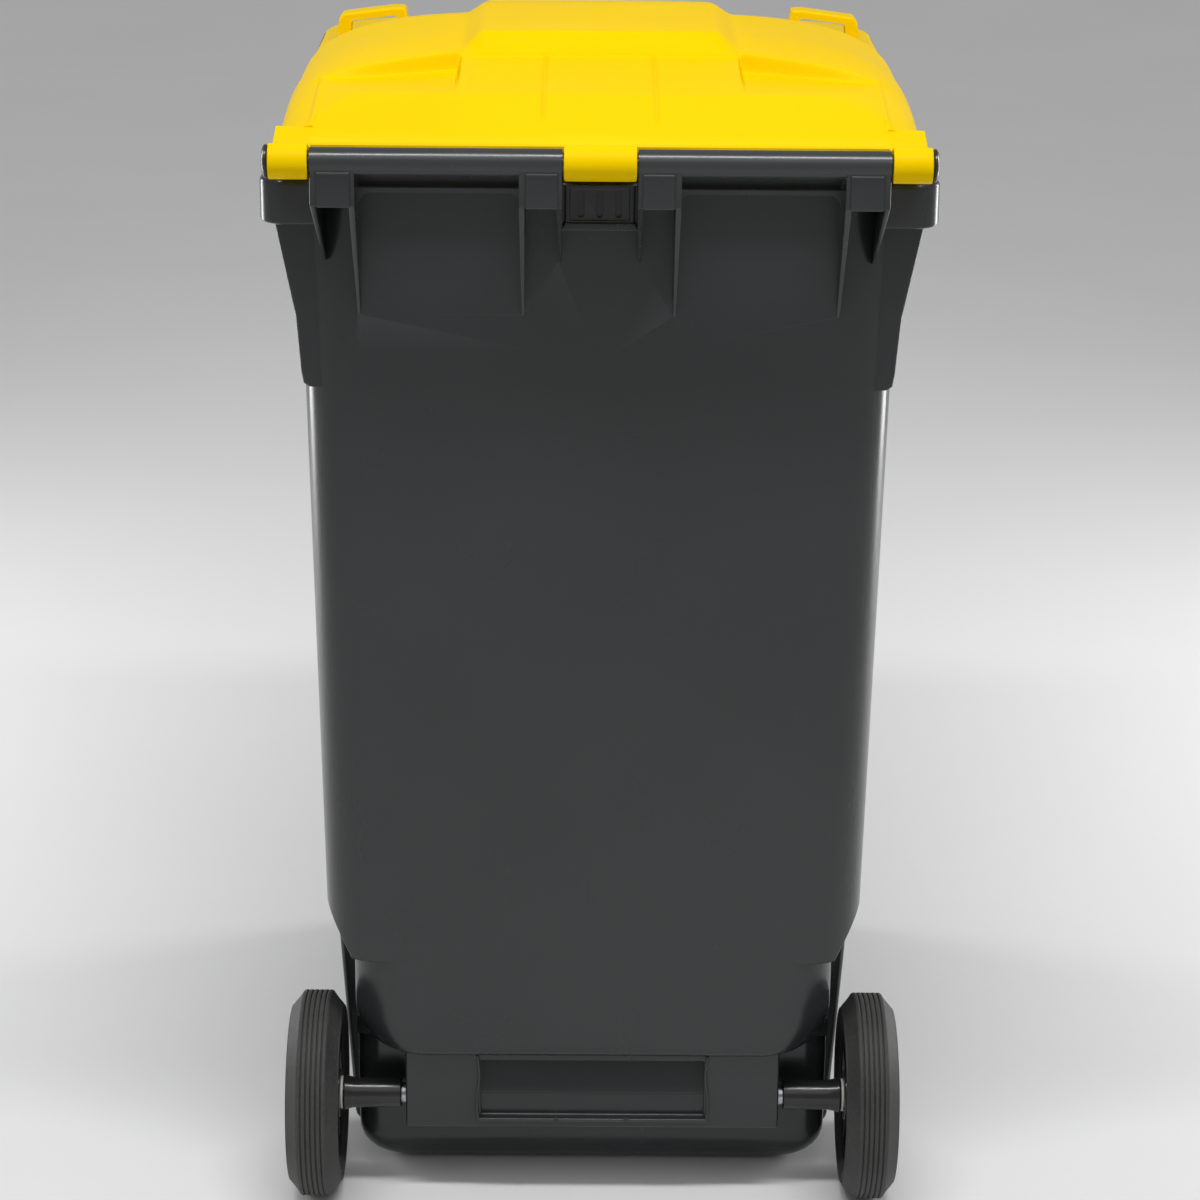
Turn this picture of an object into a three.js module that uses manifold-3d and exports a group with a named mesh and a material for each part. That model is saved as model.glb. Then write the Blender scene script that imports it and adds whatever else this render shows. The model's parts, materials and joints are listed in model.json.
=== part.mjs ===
// A two-wheeled 360 litre refuse bin: a tapered tub with a rim and grip bars, a domed lid on two hinge
// pins, and two rubber-tyred wheels that snap onto a steel axle. Millimetres, +Z up, rear towards -Y.
// The origin is on the ground under the middle of the bin's outer box.
import * as THREE from "three";
import { mergeVertices } from "three/addons/utils/BufferGeometryUtils.js";
import Module from "manifold-3d";

const wasm = await Module();
wasm.setup();

// ---------- driving dimensions ----------
const WALL = 4; // tub wall
const FLOOR = 6; // tub floor
const GAP = 0.4; // running clearance between pieces

const RIM = { half: 300, rear: -372, front: 426, top: 1020, bottom: 979, corner: 24, plate: 4 };
const TUB = { corner: 50, footRadius: 18, recessTop: 254 };

const HINGE = { y: -420, z: 1046 }; // axis of the lid
const KNUCKLE = { radius: 15.5, centreHalf: 31.4, inner: 251, outer: 285 };
const BAR = { radius: 12.5, inner: 32.6, outer: 249.5 };
const PIN = { radius: 6, headRadius: 14.5, headThick: 5, tip: 4 };
const BRACKETS = [
  { inner: 32.6, outer: 70, innerTip: 943, outerTip: 893 },
  { inner: 211, outer: 249.5, innerTip: 893, outerTip: 943 },
];
const BRACKET = { rear: -431, bottom: 1009, skin: 4, rib: 5 };
const BAY_FLANGE = { top: 1013, bottom: 1009 };
const UPSTAND = { top: 1030, thick: 4 }; // low wall in front of the grip bars, behind the lid's rear skirt

const AXLE = { y: -316, z: 100, radius: 10, half: 289, grooveRadius: 7.4, groove: 280, grooveHalf: 5.2 };
const WHEEL = { radius: 100, centre: 269, half: 25, tread: 15, seat: 72, hub: 24 };
const HOUSING = { half: 182, rear: -340, front: -290, top: 156, bottom: 64, draft: 2 };
const POCKET = { half: 109, top: 146, ridge: 109, bottom: 84, topDepth: 16, ridgeDepth: 3, depth: 10 };
const SLEEVE = { inner: 186.5, outer: 243.4, radius: 14.5, flare: 17 };
const BUSH = { radius: 14, flange: 18.5, flangeThick: 2 };
const LATCH = { x: 280, bolt: 4, collar: 6, boltTop: 28, springTop: 42, slot: 6.6 };
const CAP = { radius: 54, inner: 291.4, outer: 296, spigot: 50 };

const RECESS = { inner: 231.5, front: -201, arcRadius: 48, outer: 262, topOuter: 310 };
const NICHE = { front: -292, top: 150, corner: 44 };

const LID = {
  half: 296.5, rearHalf: 285, rear: -350, front: 435.5, skirtBottom: 1020.6, edge: 1030, crest: 1104,
  crestY: -16, rearFall: 8e-5, power: 3.4, corner: 70, skin: 3.6, bow: 4, lip: -381,
};
const SLOPE = { y: -380, z: 1055, rise: 0.283 }; // the flat slope from the hinge edge up to the crease
const SHELF = { z: 1081.5, start: -286, half: 250, halfIn: 130, outerY: -251, innerY: -166, rampTop: 1098 };
const BULGE = { height: 11, half: 106, flank: 26, rear: -166, ramp: 20, fadeStart: 100, fadeEnd: 300 };
const LOOP = {
  inner: 201, outer: 270, y: 226, depth: 26, innerTop: 1077, outerTop: 1067, bar: 8, innerLeg: 9, outerLeg: 13,
  spread: 8, innerFoot: 1030, outerFoot: 1026,
};

const CHIP = { y: 403, radius: 15, nest: 18, top: 1015, bottom: 1000 };
const COMB_RIB = { at: [-240, -180, -120, -60, 60, 120, 180, 240], half: 2, drop: 6 };
const WING = { inner: 232, foot: 812, bend: 892, top: 981, front: -262 };
const BORE_HALF = { pins: 260, axle: 200 }; // how far the tub is bored out for each

// ---------- shared helpers ----------
const lerp = THREE.MathUtils.lerp;
const clamp = THREE.MathUtils.clamp;
const smooth = (value, from, to) => THREE.MathUtils.smoothstep(value, from, to);

function solid(geometry) {
  const g = geometry.clone();
  g.deleteAttribute("normal");
  g.deleteAttribute("uv");
  const merged = mergeVertices(g, 1e-4);
  return new wasm.Manifold(
    new wasm.Mesh({
      numProp: 3,
      vertProperties: new Float32Array(merged.attributes.position.array),
      triVerts: new Uint32Array(merged.index.array),
    }),
  );
}

function geometryOf(manifold) {
  const mesh = manifold.getMesh();
  const g = new THREE.BufferGeometry();
  g.setAttribute("position", new THREE.BufferAttribute(mesh.vertProperties, 3));
  g.setIndex(new THREE.BufferAttribute(mesh.triVerts, 1));
  g.computeVertexNormals();
  return g;
}

const joined = (...pieces) => pieces.flat().reduce((sum, piece) => sum.add(piece));

function box(xs, ys, zs) {
  const size = [xs, ys, zs].map(([a, b]) => Math.abs(b - a));
  const centre = [xs, ys, zs].map(([a, b]) => (a + b) / 2);
  return solid(new THREE.BoxGeometry(...size).translate(...centre));
}

function shapeOf(points) {
  return new THREE.Shape(points.map(([a, b]) => new THREE.Vector2(a, b)));
}

// Extrudes a shape drawn in (y, z) along X.
function alongX(shape, from, to) {
  const basis = new THREE.Matrix4().makeBasis(
    new THREE.Vector3(0, 1, 0),
    new THREE.Vector3(0, 0, 1),
    new THREE.Vector3(1, 0, 0),
  );
  const g = new THREE.ExtrudeGeometry(shape, { depth: to - from, bevelEnabled: false, curveSegments: 8 });
  return solid(g.applyMatrix4(basis).translate(from, 0, 0));
}

// Extrudes a shape drawn in (x, z) along Y.
function alongY(shape, from, to) {
  const g = new THREE.ExtrudeGeometry(shape, { depth: to - from, bevelEnabled: false, curveSegments: 8 });
  return solid(g.rotateX(Math.PI / 2).translate(0, to, 0));
}

function roundX(radius, from, to, y, z, sides = 24) {
  const g = new THREE.CylinderGeometry(radius, radius, Math.abs(to - from), sides);
  return solid(g.rotateZ(Math.PI / 2).translate((from + to) / 2, y, z));
}

// Revolves a closed profile of (radius, distance from the bin's middle) about the axle, on one side.
function turned(profile, side, sides) {
  const points = profile.map(([radius, x]) => new THREE.Vector2(radius, x));
  points.push(points[0].clone());
  const g = new THREE.LatheGeometry(points, sides).rotateZ(-Math.PI / 2);
  if (side < 0) g.rotateY(Math.PI);
  return solid(g.translate(0, AXLE.y, AXLE.z));
}

const both = (from, to, side) => (side > 0 ? [from, to] : [-to, -from]);

// ---------- tub ----------
function halfWidthAt(z) {
  if (z < TUB.recessTop) return lerp(240, 256.5, z / TUB.recessTop);
  return lerp(256.5, 270.5, (z - TUB.recessTop) / (RIM.top - TUB.recessTop));
}
const rearAt = (z) => lerp(-340.8, -356, z / RIM.top);
const frontAt = (z) => lerp(326, 384, z / RIM.top);

function footInset(z) {
  const r = TUB.footRadius;
  return z >= r ? 0 : r - Math.sqrt(r * r - (r - z) * (r - z));
}

function roundedRect(half, rear, front, radius) {
  const s = new THREE.Shape();
  s.absarc(half - radius, front - radius, radius, 0, Math.PI / 2);
  s.absarc(-half + radius, front - radius, radius, Math.PI / 2, Math.PI);
  s.absarc(-half + radius, rear + radius, radius, Math.PI, 1.5 * Math.PI);
  s.absarc(half - radius, rear + radius, radius, 1.5 * Math.PI, 2 * Math.PI);
  s.closePath();
  return s;
}

function slab(half, rear, front, radius, from, to) {
  const g = new THREE.ExtrudeGeometry(roundedRect(half, rear, front, radius), {
    depth: to - from, bevelEnabled: false, curveSegments: 6,
  });
  return solid(g.translate(0, 0, from));
}

// The tub's outline at each height in levels, moved inwards by inset, as one closed solid.
function tubSolid(levels, inset, bottomInset) {
  const g = new THREE.ExtrudeGeometry(
    roundedRect(halfWidthAt(0), rearAt(0), frontAt(0), TUB.corner - inset),
    { depth: levels.length - 1, steps: levels.length - 1, bevelEnabled: false, curveSegments: 6 },
  );
  const p = g.attributes.position;
  for (let i = 0; i < p.count; i++) {
    const z = levels[Math.round(p.getZ(i))];
    const move = inset + bottomInset(z);
    const x = p.getX(i);
    const y = p.getY(i);
    const towards = y > 0 ? frontAt(z) - move - frontAt(0) : rearAt(z) + move - rearAt(0);
    p.setXYZ(i, x + Math.sign(x) * (halfWidthAt(z) - move - halfWidthAt(0)), y + towards, z);
  }
  return solid(g);
}

// The space beside the tub in which a wheel turns; grow makes it larger by the wall thickness.
function wheelRecess(side, grow) {
  const s = new THREE.Shape();
  const inner = RECESS.inner - grow;
  const r = RECESS.arcRadius;
  s.moveTo(340, -30);
  s.lineTo(inner - r, -30);
  s.lineTo(inner - r, grow);
  s.absarc(inner - r, r + grow, r, -Math.PI / 2, 0);
  s.lineTo(inner, TUB.recessTop + grow);
  s.lineTo(RECESS.outer - grow / 2, RECESS.topOuter + grow);
  s.lineTo(340, RECESS.topOuter + 40);
  s.closePath();
  const cut = alongY(s, -420, RECESS.front + grow);
  return side > 0 ? cut : cut.mirror([1, 0, 0]);
}

// The step under the tub's rear wall that leaves room for the axle.
function axleNiche(grow) {
  const half = RECESS.inner + 20;
  const arc = RECESS.inner - NICHE.corner;
  const top = NICHE.top + grow;
  const s = new THREE.Shape();
  s.moveTo(half, -30);
  s.lineTo(half, top + NICHE.corner);
  s.lineTo(RECESS.inner, top + NICHE.corner);
  s.absarc(arc, top + NICHE.corner, NICHE.corner, 0, -Math.PI / 2, true);
  s.absarc(-arc, top + NICHE.corner, NICHE.corner, -Math.PI / 2, -Math.PI, true);
  s.lineTo(-half, top + NICHE.corner);
  s.lineTo(-half, -30);
  s.closePath();
  return alongY(s, -420, NICHE.front + grow);
}

function cavity() {
  const levels = [FLOOR, FLOOR + 5, FLOOR + 12, TUB.recessTop, RIM.top, RIM.top + 2];
  const bottom = (z) => footInset(z - FLOOR + 1);
  let space = tubSolid(levels, WALL, bottom);
  for (const side of [-1, 1]) space = space.subtract(wheelRecess(side, WALL));
  return space.subtract(axleNiche(WALL));
}

function collar() {
  const { half, rear, front, top, bottom, corner, plate } = RIM;
  const ring = slab(half, rear, front, corner, bottom, top);
  const under = slab(half - plate, rear + plate, front - plate, corner - plate, bottom - 9, top - plate);
  return ring.subtract(under);
}

// Ribs under the front rim, which a lifting comb pushes against.
function combRibs() {
  const ys = [frontAt(RIM.bottom) - 2, RIM.front - 2];
  const zs = [RIM.bottom + COMB_RIB.drop, RIM.top - 2];
  return COMB_RIB.at.map((x) => box([x - COMB_RIB.half, x + COMB_RIB.half], ys, zs));
}

// One of the plates that carry a grip bar: it leans from the bar down to the rear wall.
function bracketRib(x, tip, side) {
  const wall = rearAt(tip) + 2;
  const profile = shapeOf([
    [HINGE.y, HINGE.z],
    [BRACKET.rear, HINGE.z],
    [BRACKET.rear, BRACKET.bottom],
    [wall, tip],
    [wall, RIM.top - 1],
    [RIM.rear, RIM.top - 1],
    [RIM.rear - 26, HINGE.z - 10],
  ]);
  return alongX(profile, ...both(x, x + BRACKET.rib, side));
}

function bracket(spec, side) {
  const xs = both(spec.inner, spec.outer, side);
  const wall = rearAt(RIM.top) + 2;
  const top = RIM.top - 0.5;
  const cover = shapeOf([
    [HINGE.y - 4, HINGE.z - 6],
    [RIM.rear - 28, HINGE.z - 10],
    [RIM.rear, top],
    [wall, top],
    [wall, top - BRACKET.skin],
    [RIM.rear - 1, top - BRACKET.skin],
    [RIM.rear - 30, HINGE.z - 14],
    [HINGE.y - 4, HINGE.z - 10],
  ]);
  return [
    box(xs, [BRACKET.rear, BRACKET.rear + BRACKET.skin], [BRACKET.bottom, HINGE.z]),
    alongX(cover, ...xs),
    bracketRib(spec.inner, spec.innerTip, side),
    bracketRib(spec.outer - BRACKET.rib, spec.outerTip, side),
  ];
}

// The flared gusset at a rear corner, between the collar and the side wall.
function cornerWing(side) {
  const { inner, foot, bend, top, front } = WING;
  const profile = shapeOf([
    [inner, foot],
    [266, foot],
    [267.6, foot + 6],
    [272, bend],
    [290, top],
    [inner, top],
  ].map(([x, z]) => [x * side, z]));
  return alongY(profile, rearAt(RIM.bottom) + 14, front);
}

function axleHousing() {
  const { half, rear, front, top, bottom } = HOUSING;
  const outline = shapeOf([[rear, top], [rear + HOUSING.draft, bottom], [front, bottom - 4], [front, top]]);
  const block = alongX(outline, -half, half);
  const pocket = shapeOf([
    [rear - 10, POCKET.top],
    [rear + POCKET.topDepth, POCKET.top],
    [rear + POCKET.ridgeDepth, POCKET.ridge],
    [rear + POCKET.depth, POCKET.ridge - 1],
    [rear + POCKET.depth, POCKET.bottom],
    [rear - 10, POCKET.bottom],
  ]);
  return block.subtract(alongX(pocket, -POCKET.half, POCKET.half));
}

function tub() {
  const levels = [0, 2, 6, 11, TUB.footRadius, TUB.recessTop, RIM.top];
  let shell = tubSolid(levels, 0, footInset);
  for (const side of [-1, 1]) shell = shell.subtract(wheelRecess(side, 0));
  shell = shell.subtract(axleNiche(0));
  const wallTop = rearAt(RIM.top);
  for (const side of [-1, 1]) shell = shell.add(cornerWing(side));

  let rim = joined(collar(), combRibs());
  for (const side of [-1, 1]) {
    const grips = both(BRACKETS[0].inner + 2, BRACKETS[1].outer - 2, side);
    const bay = both(BRACKETS[0].outer, BRACKETS[1].inner, side);
    rim = rim.subtract(box(grips, [RIM.rear - 5, wallTop], [RIM.bottom - 5, BAY_FLANGE.bottom]));
    rim = rim.subtract(box(bay, [RIM.rear - 5, wallTop], [BAY_FLANGE.top, RIM.top + 5]));
    rim = rim.add(box(bay, [RIM.rear, wallTop + 2], [BAY_FLANGE.bottom, BAY_FLANGE.top]));
  }
  const upstand = [-BAR.outer, BAR.outer];
  rim = rim.add(box(upstand, [wallTop, wallTop + UPSTAND.thick], [BAY_FLANGE.bottom, UPSTAND.top]));

  let all = joined(shell, rim, axleHousing());
  all = all.subtract(cavity());
  for (const side of [-1, 1]) {
    for (const spec of BRACKETS) all = joined(all, bracket(spec, side));
    all = all.add(roundX(BAR.radius, ...both(BAR.inner, BAR.outer, side), HINGE.y, HINGE.z));
  }
  const nest = new THREE.CylinderGeometry(CHIP.nest, CHIP.nest, RIM.top - CHIP.bottom - 1, 24);
  all = all.add(solid(nest.rotateX(Math.PI / 2).translate(0, CHIP.y, (RIM.top + CHIP.bottom - 1) / 2)));
  const seat = new THREE.CylinderGeometry(CHIP.radius + GAP, CHIP.radius + GAP, 20, 24);
  all = all.subtract(solid(seat.rotateX(Math.PI / 2).translate(0, CHIP.y, CHIP.top + GAP - 10)));
  all = all.subtract(roundX(PIN.radius + GAP, -BORE_HALF.pins, BORE_HALF.pins, HINGE.y, HINGE.z));
  return all.subtract(roundX(AXLE.radius + GAP, -BORE_HALF.axle, BORE_HALF.axle, AXLE.y, AXLE.z));
}

// ---------- lid ----------
function lidHalfAt(y) {
  return lerp(LID.rearHalf, LID.half, smooth(y, -390, -120));
}

function lidFrontAt(x) {
  const over = Math.max(0, Math.abs(x) - (LID.half - LID.corner));
  const bow = LID.bow * (x / LID.half) ** 2;
  return LID.front - bow - LID.corner + Math.sqrt(Math.max(0, LID.corner ** 2 - over ** 2));
}

// Height of the dome along the lid's middle, without the centre bulge.
function domeAt(y) {
  if (y <= LID.crestY) return LID.crest - LID.rearFall * (LID.crestY - y) ** 2;
  const t = clamp((y - LID.crestY) / (LID.front - LID.crestY), 0, 1);
  return lerp(LID.edge + 2, LID.crest, 0.5 * (1 + Math.cos(Math.PI * t ** 0.7)));
}

const slopeAt = (y) => SLOPE.z + SLOPE.rise * (y - SLOPE.y);

function lidTop(x, y) {
  const across = Math.min(1, Math.abs(x) / lidHalfAt(y));
  const round = (1 - across ** LID.power) ** (1 / LID.power);
  const dome = lerp(LID.edge, domeAt(y), round);
  const slope = lerp(LID.edge, slopeAt(y), Math.min(1, round * 1.25));
  let z = Math.min(dome, slope);

  const ax = Math.abs(x);
  const wallY = lerp(SHELF.outerY, SHELF.innerY, (SHELF.half - ax) / (SHELF.half - SHELF.halfIn));
  if (ax < SHELF.half && y < wallY) z = Math.min(z, SHELF.z);
  if (ax < SHELF.halfIn && y > SHELF.start && y < BULGE.rear) {
    z = Math.max(z, lerp(SHELF.z, SHELF.rampTop, (y - SHELF.start) / (BULGE.rear - SHELF.start)));
  }

  const side = 1 - smooth(ax, BULGE.half, BULGE.half + BULGE.flank);
  const rear = smooth(y, BULGE.rear, BULGE.rear + BULGE.ramp);
  const fade = 1 - smooth(y, BULGE.fadeStart, BULGE.fadeEnd);
  return z + BULGE.height * side * rear * fade;
}

const LID_COLUMNS = [0, 0.18, 0.355, 0.4, 0.445, 0.6, 0.74, 0.845, 0.9, 0.94, 0.97, 0.99, 1];
const LID_ROWS = [
  0, 0.04, 0.085, 0.105, 0.13, 0.16, 0.19, 0.22, 0.253, 0.266, 0.28, 0.35, 0.44, 0.52,
  0.6, 0.68, 0.76, 0.84, 0.91, 0.965, 1,
];

// The lid as a closed block whose upper side follows lidTop; inset and drop give the hollow's block.
function lidBlock(inset, drop, bottom) {
  const columns = LID_COLUMNS.length - 1;
  const rows = LID_ROWS.length - 1;
  const g = new THREE.BoxGeometry(2 * columns, rows, 1, 2 * columns, rows, 1);
  const p = g.attributes.position;
  for (let i = 0; i < p.count; i++) {
    const column = Math.round(p.getX(i));
    const u = Math.sign(column) * LID_COLUMNS[Math.abs(column)];
    const v = LID_ROWS[Math.round(p.getY(i) + rows / 2)];
    const half = lidHalfAt(lerp(LID.rear, LID.front - LID.corner, v));
    const y = lerp(LID.rear, lidFrontAt(u * half), v);
    const z = p.getZ(i) > 0 ? lidTop(u * half, y) - drop : bottom;
    const yIn = lerp(LID.rear + inset, lidFrontAt(u * half) - inset, v);
    p.setXYZ(i, u * (half - inset), yIn, z);
  }
  return solid(g);
}

function knuckle(from, to) {
  const arm = shapeOf([
    [HINGE.y, HINGE.z + KNUCKLE.radius - 0.3],
    [LID.lip + 3, SLOPE.z + 1],
    [LID.rear + 3, slopeAt(LID.rear) - 1],
    [LID.rear + 3, UPSTAND.top + 6],
    [LID.lip, UPSTAND.top + 6],
    [HINGE.y + 9, HINGE.z - 12.4],
    [HINGE.y, HINGE.z],
  ]);
  return [roundX(KNUCKLE.radius, from, to, HINGE.y, HINGE.z), alongX(arm, from, to)];
}

// A strap handle at a front corner of the lid, open from front to back.
function loopHandle(side) {
  const outline = shapeOf([
    [LOOP.inner - LOOP.spread, LOOP.innerFoot],
    [LOOP.inner, LOOP.innerTop],
    [LOOP.inner + 12, LOOP.innerTop],
    [LOOP.outer - 4, LOOP.outerTop],
    [LOOP.outer, LOOP.outerTop - 6],
    [LOOP.outer + LOOP.spread / 2, LOOP.outerFoot],
  ].map(([x, z]) => [x * side, z]));
  const hole = shapeOf([
    [LOOP.inner + LOOP.innerLeg - 3, 1020],
    [LOOP.inner + LOOP.innerLeg, LOOP.innerTop - LOOP.bar],
    [LOOP.outer - LOOP.outerLeg, LOOP.outerTop - LOOP.bar + 1],
    [LOOP.outer - LOOP.outerLeg + 3, 1020],
  ].map(([x, z]) => [x * side, z]));
  const strap = alongY(outline, LOOP.y, LOOP.y + LOOP.depth);
  return strap.subtract(alongY(hole, LOOP.y - 1, LOOP.y + LOOP.depth + 1));
}

function lid() {
  const hollow = lidBlock(LID.skin, LID.skin, LID.skirtBottom - 8);
  let shell = lidBlock(0, 0, LID.skirtBottom).subtract(hollow);
  const root = LID.rear + 2;
  const lip = shapeOf([
    [root, slopeAt(root) - 0.6],
    [LID.lip + 3, slopeAt(LID.lip + 3) - 0.6],
    [LID.lip, slopeAt(LID.lip) - 3],
    [LID.lip, slopeAt(LID.lip) - 7],
    [LID.lip + 3, slopeAt(LID.lip) - 8],
    [LID.lip + 6, slopeAt(LID.lip) - 3],
    [root, slopeAt(root) - LID.skin - 0.6],
  ]);
  shell = joined(shell, alongX(lip, -KNUCKLE.inner, KNUCKLE.inner));
  shell = joined(shell, knuckle(-KNUCKLE.centreHalf, KNUCKLE.centreHalf));
  for (const side of [-1, 1]) {
    shell = joined(shell, knuckle(...both(KNUCKLE.inner, KNUCKLE.outer, side)));
    shell = shell.add(loopHandle(side).subtract(lidBlock(0.8, 0.8, LID.skirtBottom - 8)));
    const bore = both(PIN.tip - GAP, KNUCKLE.outer + 2, side);
    shell = shell.subtract(roundX(PIN.radius + GAP, ...bore, HINGE.y, HINGE.z));
  }
  return shell;
}

// ---------- hinge pins, axle, wheels ----------
function hingePin(side) {
  const head = KNUCKLE.outer + GAP;
  return joined(
    roundX(PIN.radius, ...both(PIN.tip, head + 1, side), HINGE.y, HINGE.z),
    roundX(PIN.headRadius, ...both(head, head + PIN.headThick, side), HINGE.y, HINGE.z),
  );
}

function axle() {
  const { radius, half, groove, grooveHalf, grooveRadius } = AXLE;
  const profile = [[0, -half], [radius - 1.5, -half], [radius, -half + 1.5]];
  profile.push([radius, -groove - grooveHalf], [grooveRadius, -groove - grooveHalf + 1]);
  profile.push([grooveRadius, -groove + grooveHalf - 1], [radius, -groove + grooveHalf]);
  const mirrored = profile.map(([r, x]) => [r, -x]).reverse();
  const points = [...profile, ...mirrored].map(([r, x]) => new THREE.Vector2(r, x));
  const g = new THREE.LatheGeometry(points, 24).rotateZ(-Math.PI / 2);
  return solid(g.translate(0, AXLE.y, AXLE.z));
}

function sleeve(side) {
  const bore = AXLE.radius + GAP;
  const { inner, outer, radius, flare } = SLEEVE;
  return turned([[bore, inner], [radius, inner], [radius, outer - 9], [flare, outer], [bore, outer]], side, 24);
}

function bush(side) {
  const inner = WHEEL.centre - WHEEL.half;
  const outer = WHEEL.centre + WHEEL.half - 5;
  const bore = AXLE.radius + GAP;
  const tube = turned([
    [bore, inner], [BUSH.flange, inner], [BUSH.flange, inner + BUSH.flangeThick],
    [BUSH.radius, inner + BUSH.flangeThick], [BUSH.radius, outer], [bore, outer],
  ], side, 32);
  return tube.subtract(boltHole(side, LATCH.bolt + GAP));
}

function boltHole(side, radius) {
  const g = new THREE.CylinderGeometry(radius, radius, 40, 16).rotateX(Math.PI / 2);
  return solid(g.translate(side * LATCH.x, AXLE.y, AXLE.z + 26));
}

function wheel(side) {
  const c = WHEEL.centre;
  const seat = WHEEL.seat - GAP;
  const bore = BUSH.radius + GAP;
  const flange = BUSH.flangeThick + GAP;
  const profile = [
    [bore, c - 25 + flange], [WHEEL.hub, c - 25 + flange], [WHEEL.hub + 1.5, c - 5],
    [seat - 10, c - 3], [seat - 8, c - 19], [seat, c - 19], [seat, c + 19], [seat - 8, c + 19],
    [seat - 10, c + 5], [WHEEL.hub + 2, c + 5], [WHEEL.hub, c + 20], [bore, c + 20],
  ];
  const top = AXLE.z + LATCH.springTop;
  const outerFace = c + 20;
  const tower = box(both(c + 4, outerFace, side), [AXLE.y - 10, AXLE.y + 10], [AXLE.z + 20, top + 3]);
  const slotX = both(LATCH.x - LATCH.slot, outerFace + 1, side);
  const slotY = [AXLE.y - LATCH.slot, AXLE.y + LATCH.slot];
  const slot = box(slotX, slotY, [AXLE.z + LATCH.boltTop - 2.4, top]);
  return turned(profile, side, 32).add(tower).subtract(slot).subtract(boltHole(side, LATCH.bolt + GAP)
    .intersect(box(both(c, c + 30, side), [AXLE.y - 9, AXLE.y + 9], [AXLE.z, AXLE.z + 30])));
}

function tyre(side) {
  const c = WHEEL.centre;
  const { radius, seat, tread, half } = WHEEL;
  const profile = [[seat, c - 20.5], [seat + 7, c - half], [seat + 14, c - half], [radius - 1, c - tread]];
  for (const middle of [-7.5, 0, 7.5]) {
    profile.push([radius, c + middle - 3], [radius - 2, c + middle - 0.8]);
    profile.push([radius - 2, c + middle + 0.8], [radius, c + middle + 3]);
  }
  profile.push([radius - 1, c + tread], [seat + 14, c + half], [seat + 7, c + half], [seat, c + 20.5]);
  return turned(profile, side, 32);
}

function hubCap(side) {
  const { radius, inner, outer, spigot } = CAP;
  const web = WHEEL.centre + 5 + GAP;
  return turned([
    [spigot - 3, web], [spigot, web], [spigot, inner], [radius, inner], [radius, inner + 1.6],
    [radius - 8, outer], [0.01, outer], [0.01, inner + 1], [spigot - 3, inner + 1],
  ], side, 24);
}

function latchBolt(side) {
  const tip = AXLE.grooveRadius + 0.8;
  const shaft = new THREE.CylinderGeometry(LATCH.bolt, LATCH.bolt, LATCH.boltTop - tip, 16);
  const collar = new THREE.CylinderGeometry(LATCH.collar, LATCH.collar, 2, 16);
  const centre = AXLE.z + (LATCH.boltTop + tip) / 2;
  return joined(
    solid(shaft.rotateX(Math.PI / 2).translate(side * LATCH.x, AXLE.y, centre)),
    solid(collar.rotateX(Math.PI / 2).translate(side * LATCH.x, AXLE.y, AXLE.z + LATCH.boltTop - 1)),
  );
}

function latchSpring(side) {
  class Helix extends THREE.Curve {
    getPoint(t, target = new THREE.Vector3()) {
      const angle = 2 * Math.PI * 4 * t;
      const from = AXLE.z + LATCH.boltTop + 1.1;
      const to = AXLE.z + LATCH.springTop - 1.1;
      return target.set(4.4 * Math.cos(angle), 4.4 * Math.sin(angle), lerp(from, to, t));
    }
  }
  const wire = new THREE.Shape().absarc(0, 0, 0.7, 0, 2 * Math.PI);
  const g = new THREE.ExtrudeGeometry(wire, {
    steps: 32, extrudePath: new Helix(), bevelEnabled: false, curveSegments: 3,
  });
  return solid(g.translate(side * LATCH.x, AXLE.y, 0));
}

function chipPlug() {
  const g = new THREE.CylinderGeometry(CHIP.radius, CHIP.radius, CHIP.top - CHIP.bottom - 1, 24);
  return solid(g.rotateX(Math.PI / 2).translate(0, CHIP.y, (CHIP.top + CHIP.bottom + 1) / 2));
}

// ---------- assembly ----------
const FINISH = {
  tub: { color: 0x37393a, roughness: 0.42, metalness: 0 },
  lid: { color: 0xf8cf08, roughness: 0.36, metalness: 0 },
  black: { color: 0x141414, roughness: 0.5, metalness: 0 },
  rubber: { color: 0x1c1c1c, roughness: 0.85, metalness: 0 },
  steel: { color: 0xb9bcc0, roughness: 0.35, metalness: 1 },
  nylon: { color: 0xd8d6cc, roughness: 0.5, metalness: 0 },
};
const materials = Object.fromEntries(
  Object.entries(FINISH).map(([name, values]) => [name, new THREE.MeshStandardMaterial(values)]),
);

const bin = new THREE.Group();

function place(name, manifold, material) {
  const mesh = new THREE.Mesh(geometryOf(manifold), materials[material]);
  mesh.name = name;
  bin.add(mesh);
}

place("tub", tub(), "tub");
place("lid", lid(), "lid");
place("axle", axle(), "steel");
place("transponder_plug", chipPlug(), "black");
for (const [word, side] of [["left", -1], ["right", 1]]) {
  place("hinge_pin_" + word, hingePin(side), "black");
  place("axle_sleeve_" + word, sleeve(side), "black");
  place("wheel_hub_" + word, wheel(side), "black");
  place("tyre_" + word, tyre(side), "rubber");
  place("hub_bush_" + word, bush(side), "nylon");
  place("latch_bolt_" + word, latchBolt(side), "nylon");
  place("latch_spring_" + word, latchSpring(side), "steel");
  place("hub_cap_" + word, hubCap(side), "black");
}

export default bin;
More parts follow.
